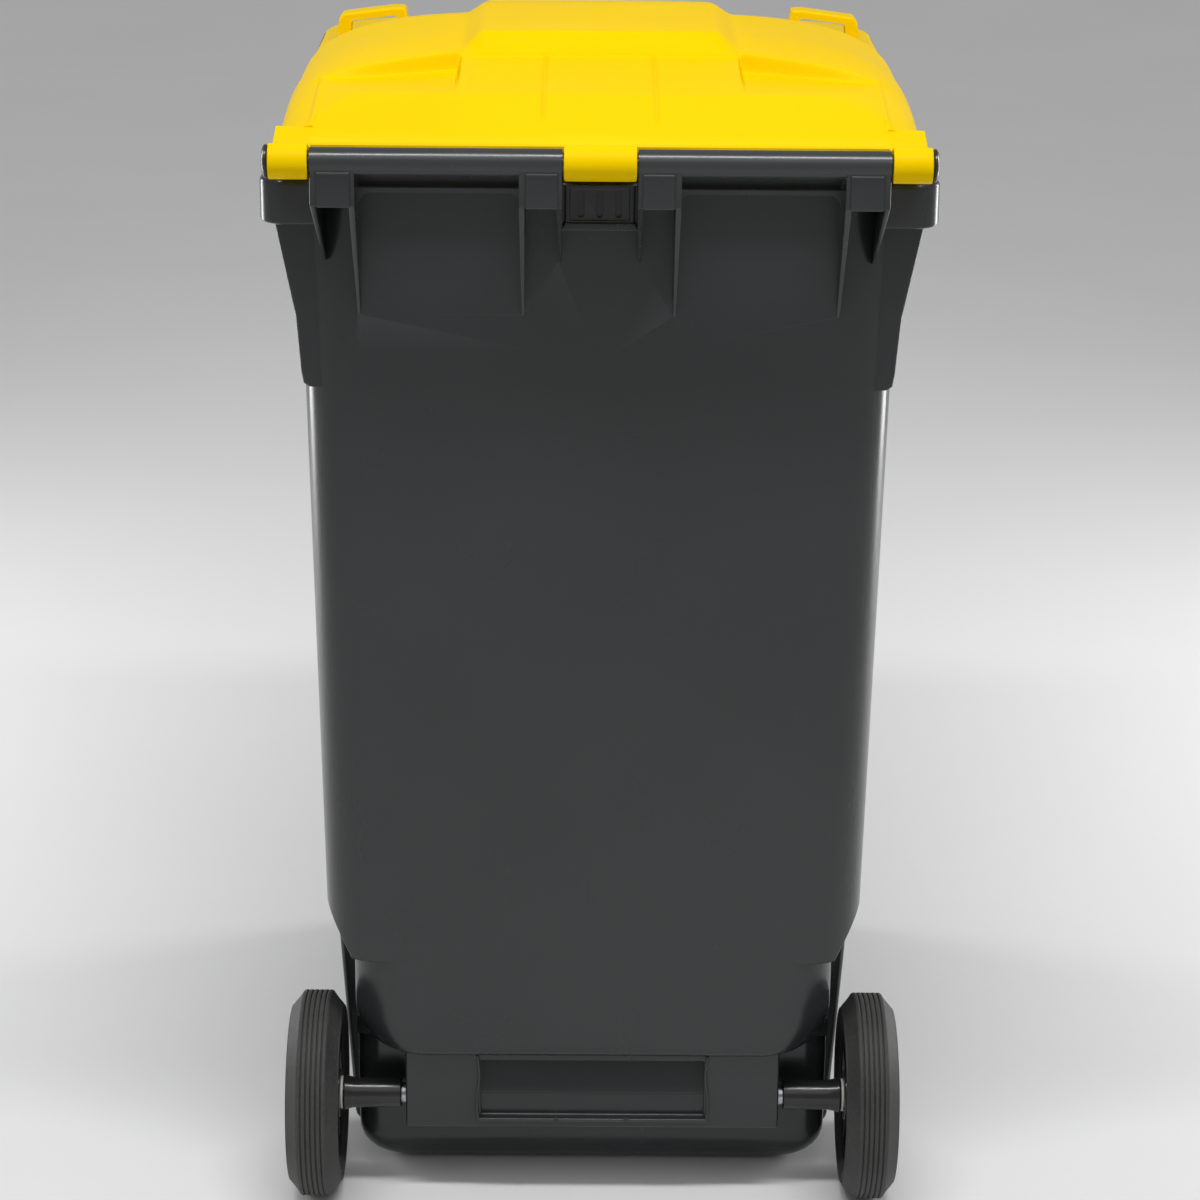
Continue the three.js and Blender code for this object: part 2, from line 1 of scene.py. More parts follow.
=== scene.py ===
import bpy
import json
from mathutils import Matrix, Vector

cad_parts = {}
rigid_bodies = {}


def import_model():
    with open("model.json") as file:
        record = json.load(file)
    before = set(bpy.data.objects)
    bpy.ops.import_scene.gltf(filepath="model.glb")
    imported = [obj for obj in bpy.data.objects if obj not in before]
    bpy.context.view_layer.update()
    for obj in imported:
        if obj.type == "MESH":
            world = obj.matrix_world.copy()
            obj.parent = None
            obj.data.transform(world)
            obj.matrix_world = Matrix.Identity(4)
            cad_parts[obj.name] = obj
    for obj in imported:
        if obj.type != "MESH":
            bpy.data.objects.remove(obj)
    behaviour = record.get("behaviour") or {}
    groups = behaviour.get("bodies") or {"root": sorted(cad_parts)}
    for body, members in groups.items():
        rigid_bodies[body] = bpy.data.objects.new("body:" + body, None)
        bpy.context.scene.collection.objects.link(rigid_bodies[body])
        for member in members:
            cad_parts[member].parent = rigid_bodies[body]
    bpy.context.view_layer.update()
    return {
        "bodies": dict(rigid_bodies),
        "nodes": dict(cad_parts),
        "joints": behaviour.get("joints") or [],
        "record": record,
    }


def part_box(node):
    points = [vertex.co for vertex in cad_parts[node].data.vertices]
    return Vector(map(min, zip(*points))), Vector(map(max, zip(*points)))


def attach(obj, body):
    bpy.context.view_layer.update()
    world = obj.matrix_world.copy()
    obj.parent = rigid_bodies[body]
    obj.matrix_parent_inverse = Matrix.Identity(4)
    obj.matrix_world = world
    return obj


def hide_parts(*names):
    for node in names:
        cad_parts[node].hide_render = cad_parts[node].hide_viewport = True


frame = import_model()

import json
import math

import bmesh
import bpy
import numpy as np
from mathutils import Matrix, Vector

# A two-wheeled 360 litre refuse bin, seen from behind. Meshes are drawn in millimetres, in the CAD
# frame (+Z up, rear towards -Y), and are scaled to metres when they are linked to the scene.
MM = 0.001

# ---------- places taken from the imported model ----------
joint_place = {j["name"]: [v / MM for v in j["pos_m"]] for j in frame["joints"] if "pos_m" in j}
HINGE_Y, HINGE_Z = joint_place["lid_hinge"][1:]
WHEEL_X, AXLE_Y, AXLE_Z = joint_place["wheel_right_spin"]


def box_mm(node):
    return [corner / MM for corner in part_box(node)]


TUB_HIGH = box_mm("tub")[1]
LID_HIGH = box_mm("lid")[1]
PIN_HIGH = box_mm("hinge_pin_right")[1]
TYRE_LOW, TYRE_HIGH = box_mm("tyre_right")
CAP_HIGH = box_mm("hub_cap_right")[1]
SLEEVE_LOW, SLEEVE_HIGH = box_mm("axle_sleeve_right")

# ---------- driving dimensions of the tub ----------
WALL = 4
FLOOR = 6
RIM = {"half": TUB_HIGH.x, "rear": -372, "front": TUB_HIGH.y, "top": 1020, "bottom": 979, "corner": 24}
RIM_PLATE = 4
WAIST = 254  # height at which the wheel recesses end
SHOULDER = 310  # just above where the roofs of the recesses meet the tub's sides
NARROW = 231.5  # half width between the wheel recesses
RECESS_FRONT = -201
ROOF_REACH, ROOF_RISE = 108.5, 199  # slant of those roofs
NICHE_FRONT = -292  # the step under the rear wall, which leaves room for the axle
NICHE_TOP = 150
CORNER = 50  # plan radius of the body's corners
LIP = 12  # radius under the rear wall
LOW_CORNER = 44  # radius at the ends of that lip
BASE_CORNER = 48  # radius under the base between the wheels
FOOT = 18  # radius under the front part of the base
BEHIND = -420  # a place behind the tub, where tools that cut its rear begin
OVERLAP = 4  # how far each block of the tub runs into the one above

BAR = 12.5  # radius of the grip bars
BAR_INNER, BAR_OUTER = 32.6, 249.5
PIN_BORE, AXLE_BORE = 6.4, 10.4
PIN_BORE_HALF, AXLE_BORE_HALF = 260, 200
BRACKETS = [(32.6, 70, 943, 893), (211, 249.5, 893, 943)]  # inner, outer, tip under each
BRACKET_REAR = -431
BRACKET_BOTTOM = 1009
RIB_THICK = 5
FLANGE_TOP, FLANGE_BOTTOM = 1013, 1009  # the flange between the brackets
UPSTAND_TOP = 1030
COMB_RIBS = (-240, -180, -120, -60, 60, 120, 180, 240)
WING_FOOT = 824
NEST = {"y": 403, "outer": 18, "radius": 15, "bottom": 1000, "top": 1015}

HOUSING = {"half": 182, "rear": -336, "front": -286, "top": 158, "bottom": 72}
POCKET = {"half": 109, "top": 146, "ridge": 109, "bottom": 84, "top_depth": 16, "ridge_depth": 3, "depth": 7}

# ---------- driving dimensions of the lid ----------
LID = {
    "half": 292, "rear": -350, "front": LID_HIGH.y, "bottom": 1020.6, "edge": 1030, "crest": 1104,
    "crest_y": 20, "back": 2.3e-4, "skin": 3.4, "power": 4.2, "rear_power": 9, "fall": 0.5, "corner": 95,
    "bow": 4, "lip": -381,
}
KNUCKLE = {"radius": 15.5, "centre": 31.4, "inner": 251, "outer": 285}
SLOPE = {"y": -380, "z": 1055, "rise": 0.283}
SHELF = {
    "z": 1081.5, "start": -286, "half": 250, "half_in": 130, "outer_y": -226, "inner_y": -168,
    "ramp_top": 1094,
}
BEADS = {"wall": 3, "side": 2.6, "side_x": 253, "middle": 1.9, "middle_x": 50}  # heights and places
BULGE = {
    "height": 11.4, "swell": 1.5e-4, "half": 106, "flank": 26, "rear": -168, "ramp": 30, "fade": (120, 330),
}
LOOP = {"inner": 201, "outer": 270, "y": 226, "depth": 26, "inner_top": 1075, "outer_top": 1068}


# ---------- camera ----------
def make_camera():
    """The camera stands behind the bin, a little above its rim, and looks down on it."""
    place = Vector((-0.0145, -3.223, 1.626))
    pitch, yaw, roll = math.radians(19.21), math.radians(0.355), math.radians(0.5)
    ahead = Vector((math.sin(yaw) * math.cos(pitch), math.cos(yaw) * math.cos(pitch), -math.sin(pitch)))
    right = Vector((math.cos(yaw), -math.sin(yaw), 0))
    up = right.cross(ahead)
    turned_right = right * math.cos(roll) + up * math.sin(roll)
    turned_up = up * math.cos(roll) - right * math.sin(roll)
    data = bpy.data.cameras.new("camera")
    data.sensor_width = 36
    data.lens = 99.2
    data.clip_end = 50
    camera = bpy.data.objects.new("camera", data)
    axes = Matrix((turned_right, turned_up, -ahead)).transposed()
    camera.matrix_world = Matrix.Translation(place) @ axes.to_4x4()
    bpy.context.scene.collection.objects.link(camera)
    bpy.context.scene.camera = camera


make_camera()


# ---------- mesh helpers ----------
def smooth(value, low, high):
    t = np.clip((np.asarray(value, float) - low) / (high - low), 0, 1)
    return t * t * (3 - 2 * t)


def mix(a, b, t):
    return a + (b - a) * t


def bent(value, radius):
    """max(0, value) with its corner rounded over radius on both sides."""
    value = np.asarray(value, float)
    rounded = (value + radius) ** 2 / (4 * radius)
    return np.where(value < -radius, 0, np.where(value > radius, value, rounded))


def mesh_from(points, faces):
    mesh = bpy.data.meshes.new("mesh")
    mesh.from_pydata([tuple(map(float, p)) for p in points], [], faces)
    mesh.validate()
    return mesh


def as_object(mesh, name="part"):
    made = bpy.data.objects.new(name, mesh)
    bpy.context.scene.collection.objects.link(made)
    return made


def loft(rings, loop=False):
    """A closed solid through rings of points that run anticlockwise seen from above, lowest ring first."""
    rings = [np.asarray(r, float) for r in rings]
    n = len(rings[0])
    count = len(rings)
    faces = []
    for i in range(count if loop else count - 1):
        a, b = i * n, ((i + 1) % count) * n
        for k in range(n):
            m = (k + 1) % n
            faces.append((a + k, a + m, b + m, b + k))
    if not loop:
        faces.append(tuple(reversed(range(n))))
        faces.append(tuple(range((count - 1) * n, count * n)))
    return as_object(mesh_from(np.vstack(rings), faces))


def arc(cx, cy, rx, ry, start, end, steps):
    turn = np.radians(np.linspace(start, end, steps + 1))
    return np.c_[cx + rx * np.cos(turn), cy + ry * np.sin(turn)]


def plan(half, rear, front, radius, z, steps=12):
    """A rounded rectangle seen from above, as a ring at height z."""
    t = np.linspace(0, 1, 5)[:, None]
    straight = np.array([half - radius, 0])
    right = np.vstack([
        np.array([0, rear]) + t[:-1] * straight,
        arc(half - radius, rear + radius, radius, radius, -90, 0, steps),
        arc(half - radius, front - radius, radius, radius, 0, 90, steps),
        np.array([half - radius, front]) - t[1:] * straight,
    ])
    left = right[-2:0:-1] * [-1, 1]
    flat = np.vstack([right, left])
    return np.c_[flat, np.full(len(flat), z)]


def prism(outline, axis, low, high):
    """Extrudes an outline along an axis. The outline is (y, z) for X, (x, z) for Y and (x, y) for Z."""
    outline = np.asarray(outline, float)
    n = len(outline)

    def layer(at):
        filled = np.full(n, float(at))
        if axis == "X":
            return np.c_[filled, outline]
        if axis == "Y":
            return np.c_[outline[:, 0], filled, outline[:, 1]]
        return np.c_[outline, filled]

    faces = [(k, (k + 1) % n, n + (k + 1) % n, n + k) for k in range(n)]
    faces += [tuple(reversed(range(n))), tuple(range(n, 2 * n))]
    made = as_object(mesh_from(np.vstack([layer(low), layer(high)]), faces))
    return face_out(made)


def face_out(obj):
    bm = bmesh.new()
    bm.from_mesh(obj.data)
    bmesh.ops.recalc_face_normals(bm, faces=bm.faces)
    bm.to_mesh(obj.data)
    bm.free()
    return obj


def block(xs, ys, zs):
    outline = [(xs[0], zs[0]), (xs[1], zs[0]), (xs[1], zs[1]), (xs[0], zs[1])]
    return prism(outline, "Y", *ys)


def rounded(obj, width, segments=4, angle=30, only=None):
    """Rounds the edges sharper than angle. only(middle, direction) may choose among them."""
    bm = bmesh.new()
    bm.from_mesh(obj.data)
    limit = math.radians(angle)
    chosen = [e for e in bm.edges if len(e.link_faces) == 2 and e.calc_face_angle(0) > limit]
    if only:
        chosen = [
            e for e in chosen
            if only((e.verts[0].co + e.verts[1].co) / 2, (e.verts[1].co - e.verts[0].co).normalized())
        ]
    bmesh.ops.bevel(
        bm, geom=chosen, offset=width, segments=segments, profile=0.5, affect="EDGES", clamp_overlap=True,
    )
    bm.to_mesh(obj.data)
    bm.free()
    return obj


def lathe(profile, side=1, steps=96):
    """Turns a closed profile of (radius, x) about the axle. side is -1 for the left wheel."""
    turn = np.linspace(0, 2 * math.pi, steps, endpoint=False)
    profile = np.asarray(profile, float)
    radius, x = profile.T
    rings = [np.c_[x * side, AXLE_Y + radius * math.sin(t), AXLE_Z + radius * math.cos(t)] for t in turn]
    n = len(profile)
    faces = []
    for i in range(steps):
        a, b = i * n, ((i + 1) % steps) * n
        for k in range(n):
            m = (k + 1) % n
            faces.append((a + k, a + m, b + m, b + k))
    made = as_object(mesh_from(np.vstack(rings), faces))
    bm = bmesh.new()
    bm.from_mesh(made.data)
    bmesh.ops.remove_doubles(bm, verts=bm.verts, dist=1e-4)
    bm.to_mesh(made.data)
    bm.free()
    return face_out(made)


def rod(radius, low, high, y=HINGE_Y, z=HINGE_Z, steps=48):
    turn = np.linspace(0, 2 * math.pi, steps, endpoint=False)
    return prism(np.c_[y + radius * np.cos(turn), z + radius * np.sin(turn)], "X", low, high)


def mirrored(obj):
    """A copy on the other side of the bin."""
    mesh = obj.data.copy()
    mesh.transform(Matrix.Diagonal((-1, 1, 1, 1)))
    mesh.flip_normals()
    return as_object(mesh)


def boolean(target, tools, operation):
    """Joins tools to target, or cuts them out of it, and removes them."""
    for tool in tools:
        step = target.modifiers.new("step", "BOOLEAN")
        step.object = tool
        step.operation = operation
        step.solver = "MANIFOLD"
        bpy.context.view_layer.update()
        graph = bpy.context.evaluated_depsgraph_get()
        result = bpy.data.meshes.new_from_object(target.evaluated_get(graph))
        target.modifiers.clear()
        target.data = result
        bpy.data.objects.remove(tool)
    return target


def union(target, *tools):
    return boolean(target, tools, "UNION")


def cut(target, *tools):
    return boolean(target, tools, "DIFFERENCE")


def piece(obj, name, body, material, nodes, sharp=29):
    """Names a finished mesh, scales it to metres, and puts it on its CAD body in place of its nodes."""
    mesh = obj.data
    mesh.transform(Matrix.Scale(MM, 4))
    mesh.shade_smooth()
    mesh.set_sharp_from_angle(angle=math.radians(sharp))
    mesh.materials.clear()
    mesh.materials.append(material)
    weigh = obj.modifiers.new("shading", "WEIGHTED_NORMAL")
    weigh.keep_sharp = True
    weigh.weight = 80
    obj.name = name
    mesh.name = name
    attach(obj, body)
    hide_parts(*nodes)
    return obj


# ---------- tub ----------
def half_width(z):
    if z < WAIST:
        return mix(240, 256.5, z / WAIST)
    return mix(256.5, 270.5, (z - WAIST) / (RIM["top"] - WAIST))


def rear_wall(z):
    return mix(-340.8, -356, z / RIM["top"])


def front_wall(z):
    return mix(326, 384, z / RIM["top"])


def curl(z, level, radius):
    """How far a lower edge of that radius turns in at height z, when the round ends at level."""
    drop = min(max(0, level - z), radius)
    return radius - math.sqrt(radius * radius - drop * drop)


def tub_ring(z, rear, front, low, mid, rear_corner, front_corner, step_y=0.0):
    """One level of the tub, with half width low behind step_y and mid before it."""
    a = np.linspace(0, 1, 9)
    side = np.c_[mix(low, mid, 0.5 - 0.5 * np.cos(np.pi * a)), step_y + 12 * (a - 0.5)]
    right = np.vstack([
        [(0, rear)],
        arc(low - rear_corner, rear + rear_corner, rear_corner, rear_corner, -90, 0, 14),
        side,
        arc(mid - front_corner, front - front_corner, front_corner, front_corner, 0, 90, 14),
        [(0, front)],
    ])
    flat = np.vstack([right, right[-2:0:-1] * [-1, 1]])
    return np.c_[flat, np.full(len(flat), z)]


def rising(bottom, radius, angles):
    """Heights along a round edge of that radius, at angles up from its foot."""
    return [bottom + radius * (1 - math.cos(math.radians(a))) for a in angles]


def upper_block(inset, top):
    """The tub above its waist, cut away at each side to make the roof of a wheel recess."""
    rings = []
    for z in (WAIST + inset, 330, 420, 560, 700, 850, 950, top):
        half = half_width(z) - inset
        rings.append(tub_ring(
            z, rear_wall(z) + inset, front_wall(z) - inset, half, half, CORNER - inset, CORNER - inset,
        ))
    made = loft(rings)
    low, high = WAIST - 60, WAIST + inset
    near, far = NARROW - inset, NARROW - inset + ROOF_REACH
    for side in (1, -1):
        roof = [(near, high), (near, low), (far, low), (far, high + ROOF_RISE + inset)]
        roof = [(side * x, z) for x, z in roof]
        made = cut(made, prism(roof, "Y", BEHIND, RECESS_FRONT + inset))
    if inset:
        return made

    def roof_edge(middle, direction):
        return middle.y < RECESS_FRONT - 3 and abs(middle.x) > 207 and middle.z < SHOULDER

    return rounded(made, 1.4, only=roof_edge)


def with_overlap(levels, top):
    """Heights of a block's rings, each with the inset that lets it run into the block above."""
    return [(z, 0) for z in [*levels, top]] + [(top + OVERLAP, 0.05)]


def front_block(inset, bottom):
    """The full-width part of the tub before the wheel recesses, from its foot to the waist."""
    rings = []
    top = WAIST + inset
    for z, slack in with_overlap(rising(bottom, FOOT, range(0, 91, 15)) + [100, 180], top):
        turned_in = curl(z, bottom + FOOT, FOOT) + inset + slack
        half = half_width(min(z, top)) - turned_in
        rear = RECESS_FRONT + turned_in
        rings.append(tub_ring(z, rear, front_wall(z) - turned_in, half, half, 5, CORNER - inset, 60))
    return loft(rings)


def narrow_block(inset, bottom):
    """The tub between the wheels, over the axle niche, with a rounded lip and lower corners."""
    top = WAIST + inset
    levels = rising(bottom, LIP, range(0, 91, 15))
    levels += [bottom + LOW_CORNER * math.sin(math.radians(a)) for a in (24, 33, 42, 52, 62, 74, 90)]
    rings = []
    for z, slack in with_overlap(levels + [225], top):
        mid = NARROW - inset - slack
        low = mid - curl(z, bottom + LOW_CORNER, LOW_CORNER - inset)
        rear = rear_wall(z) + inset + slack + curl(z, bottom + LIP, LIP)
        corner = min(45 - inset, NICHE_FRONT + inset - 6.5 - rear)
        rings.append(tub_ring(z, rear, -190, low, mid, corner, 1, NICHE_FRONT + inset))
    return loft(rings)


def heel_block(inset, bottom):
    """The base before the axle niche, rounded under its rear edge and at its lower corners."""
    radius = BASE_CORNER - inset
    rings = []
    top = NICHE_TOP + inset
    for z, slack in with_overlap(rising(bottom, radius, range(0, 91, 10)) + [100], top):
        turned_in = curl(z, bottom + radius, radius)
        half = NARROW - inset - slack - turned_in
        rear = NICHE_FRONT + inset + slack + turned_in
        rings.append(tub_ring(z, rear, -180, half, half, 24, 1, -212))
    return loft(rings)


def tub_blocks(inset, floor, top):
    """The four blocks that the tub is joined from; with inset they are the hollow inside it."""
    return [
        upper_block(inset, top), front_block(inset, floor), narrow_block(inset, NICHE_TOP + inset),
        heel_block(inset, floor),
    ]


def collar():
    """The rim: a plate round the mouth with a skirt that hangs from it."""
    r = RIM
    wall = (half_width(r["top"]) - 2, rear_wall(r["top"]) + 2, front_wall(r["top"]) - 2)
    section = [(4, r["bottom"]), (2.2, r["bottom"] + 0.2), (0.8, r["bottom"] + 1), (0, r["bottom"] + 2.6)]
    section += [(6 - 6 * math.cos(a), r["top"] - 6 + 6 * math.sin(a)) for a in np.radians(range(0, 91, 15))]

    def outer_ring(inset, z):
        return plan(r["half"] - inset, r["rear"] + inset, r["front"] - inset, r["corner"] - inset, z)

    under = r["top"] - RIM_PLATE
    rings = [outer_ring(inset, z) for inset, z in section]
    rings += [plan(*wall, CORNER - 2, z) for z in (r["top"], under)]
    rings += [outer_ring(8, under), outer_ring(5, under - 3), outer_ring(4, r["bottom"] + 6)]
    return loft(rings, loop=True)


def bracket_rib(x, tip, lean, deep):
    """A plate that leans from a grip bar down to the rear wall and gets thinner towards its tip."""
    wall = rear_wall(tip) + deep
    made = prism([
        (HINGE_Y, HINGE_Z + 2), (BRACKET_REAR + 0.4, HINGE_Z), (BRACKET_REAR + 0.4, BRACKET_BOTTOM),
        (rear_wall(tip) + 1, tip), (wall, tip), (wall, RIM["top"] - 1.4), (RIM["rear"], RIM["top"] - 1.4),
        (RIM["rear"] - 26, HINGE_Z - 9),
    ], "X", x, x + RIB_THICK)
    centre = x + RIB_THICK / 2
    for v in made.data.vertices:
        t = min(1, max(0, (BRACKET_BOTTOM - v.co.z) / (BRACKET_BOTTOM - tip)))
        v.co.x = centre + (v.co.x - centre) * (1 - 0.45 * t) - lean * t
    return rounded(made, 1.1)


def bracket(inner, outer, inner_tip, outer_tip):
    """Face plate with a soft pad, sloping cover and two leaning ribs, on the right-hand side."""
    wall = rear_wall(RIM["top"]) + 2
    top = RIM["top"] - 0.6
    outline = [
        (HINGE_Y - 4, HINGE_Z - 6), (RIM["rear"] - 28, HINGE_Z - 9), (RIM["rear"] - 6, top + 3),
        (RIM["rear"], top), (wall, top), (wall, top - 4), (RIM["rear"] - 1, top - 4),
        (RIM["rear"] - 30, HINGE_Z - 14), (HINGE_Y - 4, HINGE_Z - 10),
    ]
    cover = prism(outline, "X", inner + 0.4, outer - 0.4)
    face = block((inner, outer), (BRACKET_REAR, BRACKET_REAR + 4), (BRACKET_BOTTOM, HINGE_Z - 2))
    rounded(face, 1.4)
    rise, low, high, round_height = 1.8, BRACKET_BOTTOM - 0.6, BRACKET_BOTTOM + 30, 5.5
    turn = np.radians(range(0, 91, 15))
    crown = [(BRACKET_REAR - rise * math.sin(a), high - round_height * (1 - math.cos(a))) for a in turn]
    crown += [(BRACKET_REAR - rise, low + 1), (BRACKET_REAR - rise + 0.8, low), (BRACKET_REAR + 2, low)]
    pad = prism(crown + [(BRACKET_REAR + 2, high)], "X", inner + 4, outer - 6)
    rounded(pad, 1.2, only=lambda m, d: m.y < BRACKET_REAR and abs(d.x) < 0.5)
    outermost = outer > 200
    return [
        cover, face, pad,
        bracket_rib(inner, inner_tip, 0, 2),
        bracket_rib(outer - RIB_THICK, outer_tip, 3.6 if outermost else 0, 8 if outermost else 2),
    ]


def bay_flange():
    """The arch between the brackets, with a fillet into each rib."""
    left, right = BRACKETS[0][1], BRACKETS[1][0]
    top, bottom, fillet = FLANGE_TOP, FLANGE_BOTTOM, 10
    outline = [(left - 1, top), (left - 1, bottom - fillet)]
    outline += [tuple(p) for p in arc(left + fillet, bottom - fillet, fillet, fillet, 180, 90, 8)]
    outline += [tuple(p) for p in arc(right - fillet, bottom - fillet, fillet, fillet, 90, 0, 8)]
    outline += [(right + 1, bottom - fillet), (right + 1, top)]
    made = prism(outline, "Y", RIM["rear"], rear_wall(RIM["top"]) + 2)
    return rounded(made, 1.6, only=lambda m, d: m.y < RIM["rear"] + 1)


def corner_wing():
    """The flared gusset at a rear corner, between the rim and the side wall."""
    foot, top = WING_FOOT, RIM["bottom"] + 2
    outline = [(232, foot), (262, foot), (266, foot + 3), (268, foot + 14), (272, 890), (274, 900)]
    outline += [(290, top), (232, top)]
    made = prism(outline, "Y", rear_wall(RIM["bottom"]) + 14, -262)
    return rounded(made, 3, only=lambda m, d: m.x > 255 and abs(d.y) < 0.5)


def centre_panel():
    """The small moulded panel on the rim under the lid's middle knuckle, with three slots to cut."""
    rear = RIM["rear"]
    frame = rounded(block((-31, 31), (rear - 2.4, rear + 2), (980, 1018)), 1.6, 3)
    lip = prism([(-36, 977), (36, 977), (31, 984), (-31, 984)], "Y", rear - 5.5, rear + 1)
    rounded(lip, 1.5)
    inset = rounded(block((-26.5, 26.5), (rear - 8, rear - 1), (985.5, 1014.5)), 1.4, 3)
    slots = []
    for x in (-16.5, 0, 16.5):
        ends = [arc(x, 1009, 3, 3, 0, 180, 8), arc(x, 991, 3, 3, 180, 360, 8)]
        slots.append(prism(np.vstack(ends), "Y", rear - 8, rear + 1.8))
    return [frame, lip], [inset, *slots]


def axle_housing():
    """The block behind the base that carries the axle, and the pocket in its middle."""
    h, p = HOUSING, POCKET
    half, rear = p["half"], h["rear"]
    outline = [(rear, h["top"]), (rear + 2, h["bottom"]), (h["front"], h["bottom"] - 4)]
    made = prism(outline + [(h["front"], h["top"])], "X", -h["half"], h["half"])
    rounded(made, 2.5)
    outline = [(rear - 10, p["bottom"]), (rear - 10, p["top"]), (rear + p["top_depth"], p["top"])]
    outline += [(rear + p["ridge_depth"], p["ridge"]), (rear + p["depth"], p["ridge"] - 1.2)]
    outline.append((rear + p["depth"], p["bottom"]))
    hollow = rounded(prism(outline, "X", -half, half), 1.5)
    made = cut(made, hollow)
    heights = np.linspace(p["bottom"] - 4, p["top"] + 6, 13)
    for side in (1, -1):
        wave = half + 1 + 1.4 * np.sin((heights - p["bottom"]) / 10)
        outline = np.vstack([np.c_[wave, heights], np.c_[wave + 2.6, heights][::-1]]) * [side, 1]
        made = union(made, rounded(prism(outline, "Y", rear - 3, rear + 2), 1.0))
    low = p["bottom"]
    sill = rounded(block((-half - 2, half + 2), (rear - 3, rear + 3), (low - 3.4, low)), 1.2)
    notches = [block((x - 2.5, x + 2.5), (rear - 5, rear), (low - 6, low + 3)) for x in (-35, 33)]
    return union(made, cut(sill, *notches))


def tub_mesh():
    """The tub as one moulding, with its rim, brackets, grip bars, nest and bores."""
    tub = union(*tub_blocks(0, 0, RIM["top"]))
    wings = corner_wing()
    tub = union(tub, mirrored(wings), wings)
    rim = collar()
    wall = rear_wall(RIM["top"])
    left, right = BRACKETS[0][0] + 2, BRACKETS[1][1] - 2
    bays = (BRACKETS[0][1], BRACKETS[1][0])
    for side in (1, -1):
        grip = sorted((side * left, side * right))
        bay = sorted((side * bays[0], side * bays[1]))
        rim = cut(
            rim,
            block(grip, (RIM["rear"] - 5, wall), (RIM["bottom"] - 5, FLANGE_BOTTOM)),
            block(bay, (RIM["rear"] - 5, wall), (FLANGE_TOP, RIM["top"] + 5)),
        )
    upstand = block((-BAR_OUTER, BAR_OUTER), (wall, wall + WALL), (FLANGE_BOTTOM, UPSTAND_TOP))
    rounded(upstand, 1.2, only=lambda m, d: m.z > UPSTAND_TOP - 1)
    rim = union(rim, upstand)
    for x in COMB_RIBS:
        ys = (front_wall(RIM["bottom"]) - 2, RIM["front"] - 2)
        rim = union(rim, block((x - 2, x + 2), ys, (RIM["bottom"] + 6, RIM["top"] - 2)))
    tub = union(tub, rim, axle_housing())
    tub = cut(tub, *tub_blocks(WALL, FLOOR, RIM["top"] + 2))
    for spec in BRACKETS:
        for part in bracket(*spec):
            other = mirrored(part)
            tub = union(tub, part, other)
    arch = bay_flange()
    bar = rod(BAR, BAR_INNER, BAR_OUTER)
    tub = union(tub, mirrored(arch), arch, mirrored(bar), bar)
    added, removed = centre_panel()
    tub = cut(union(tub, *added), *removed)
    nest = rod_up(NEST["outer"], 0, NEST["y"], NEST["bottom"], RIM["top"] - 1)
    seat = rod_up(NEST["radius"] + 0.4, 0, NEST["y"], NEST["bottom"] - 20, NEST["top"] + 0.4)
    tub = cut(union(tub, nest), seat)
    pins = rod(PIN_BORE, -PIN_BORE_HALF, PIN_BORE_HALF)
    axle = rod(AXLE_BORE, -AXLE_BORE_HALF, AXLE_BORE_HALF, AXLE_Y, AXLE_Z)
    return cut(tub, pins, axle)


def rod_up(radius, x, y, low, high, steps=48):
    turn = np.linspace(0, 2 * math.pi, steps, endpoint=False)
    return prism(np.c_[x + radius * np.cos(turn), y + radius * np.sin(turn)], "Z", low, high)


# ---------- lid ----------
def lid_half(y):
    """Half width of the lid, a little less towards the hinge."""
    return LID["half"] - 5 + 5 * smooth(y, -390, -120)


def lid_front(x):
    """The lid's front edge: bowed, with rounded corners."""
    over = np.clip(np.abs(x) - (LID["half"] - LID["corner"]), 0, LID["corner"])
    bow = LID["bow"] * (x / LID["half"]) ** 2
    return LID["front"] - bow - LID["corner"] + np.sqrt(LID["corner"] ** 2 - over ** 2)


def lower_of(a, b, blend):
    """The lower of two surfaces, with the crease between them rounded."""
    return a - bent(a - b, blend)


def wall_line(x):
    """Where the wall behind the shelf stands: straight across the middle, slanting back to the sides."""
    across = np.clip((SHELF["half"] - np.abs(x)) / (SHELF["half"] - SHELF["half_in"]), 0, 1)
    return mix(SHELF["outer_y"], SHELF["inner_y"], across)


def ridge(distance, width):
    return np.exp(-((distance / width) ** 2))


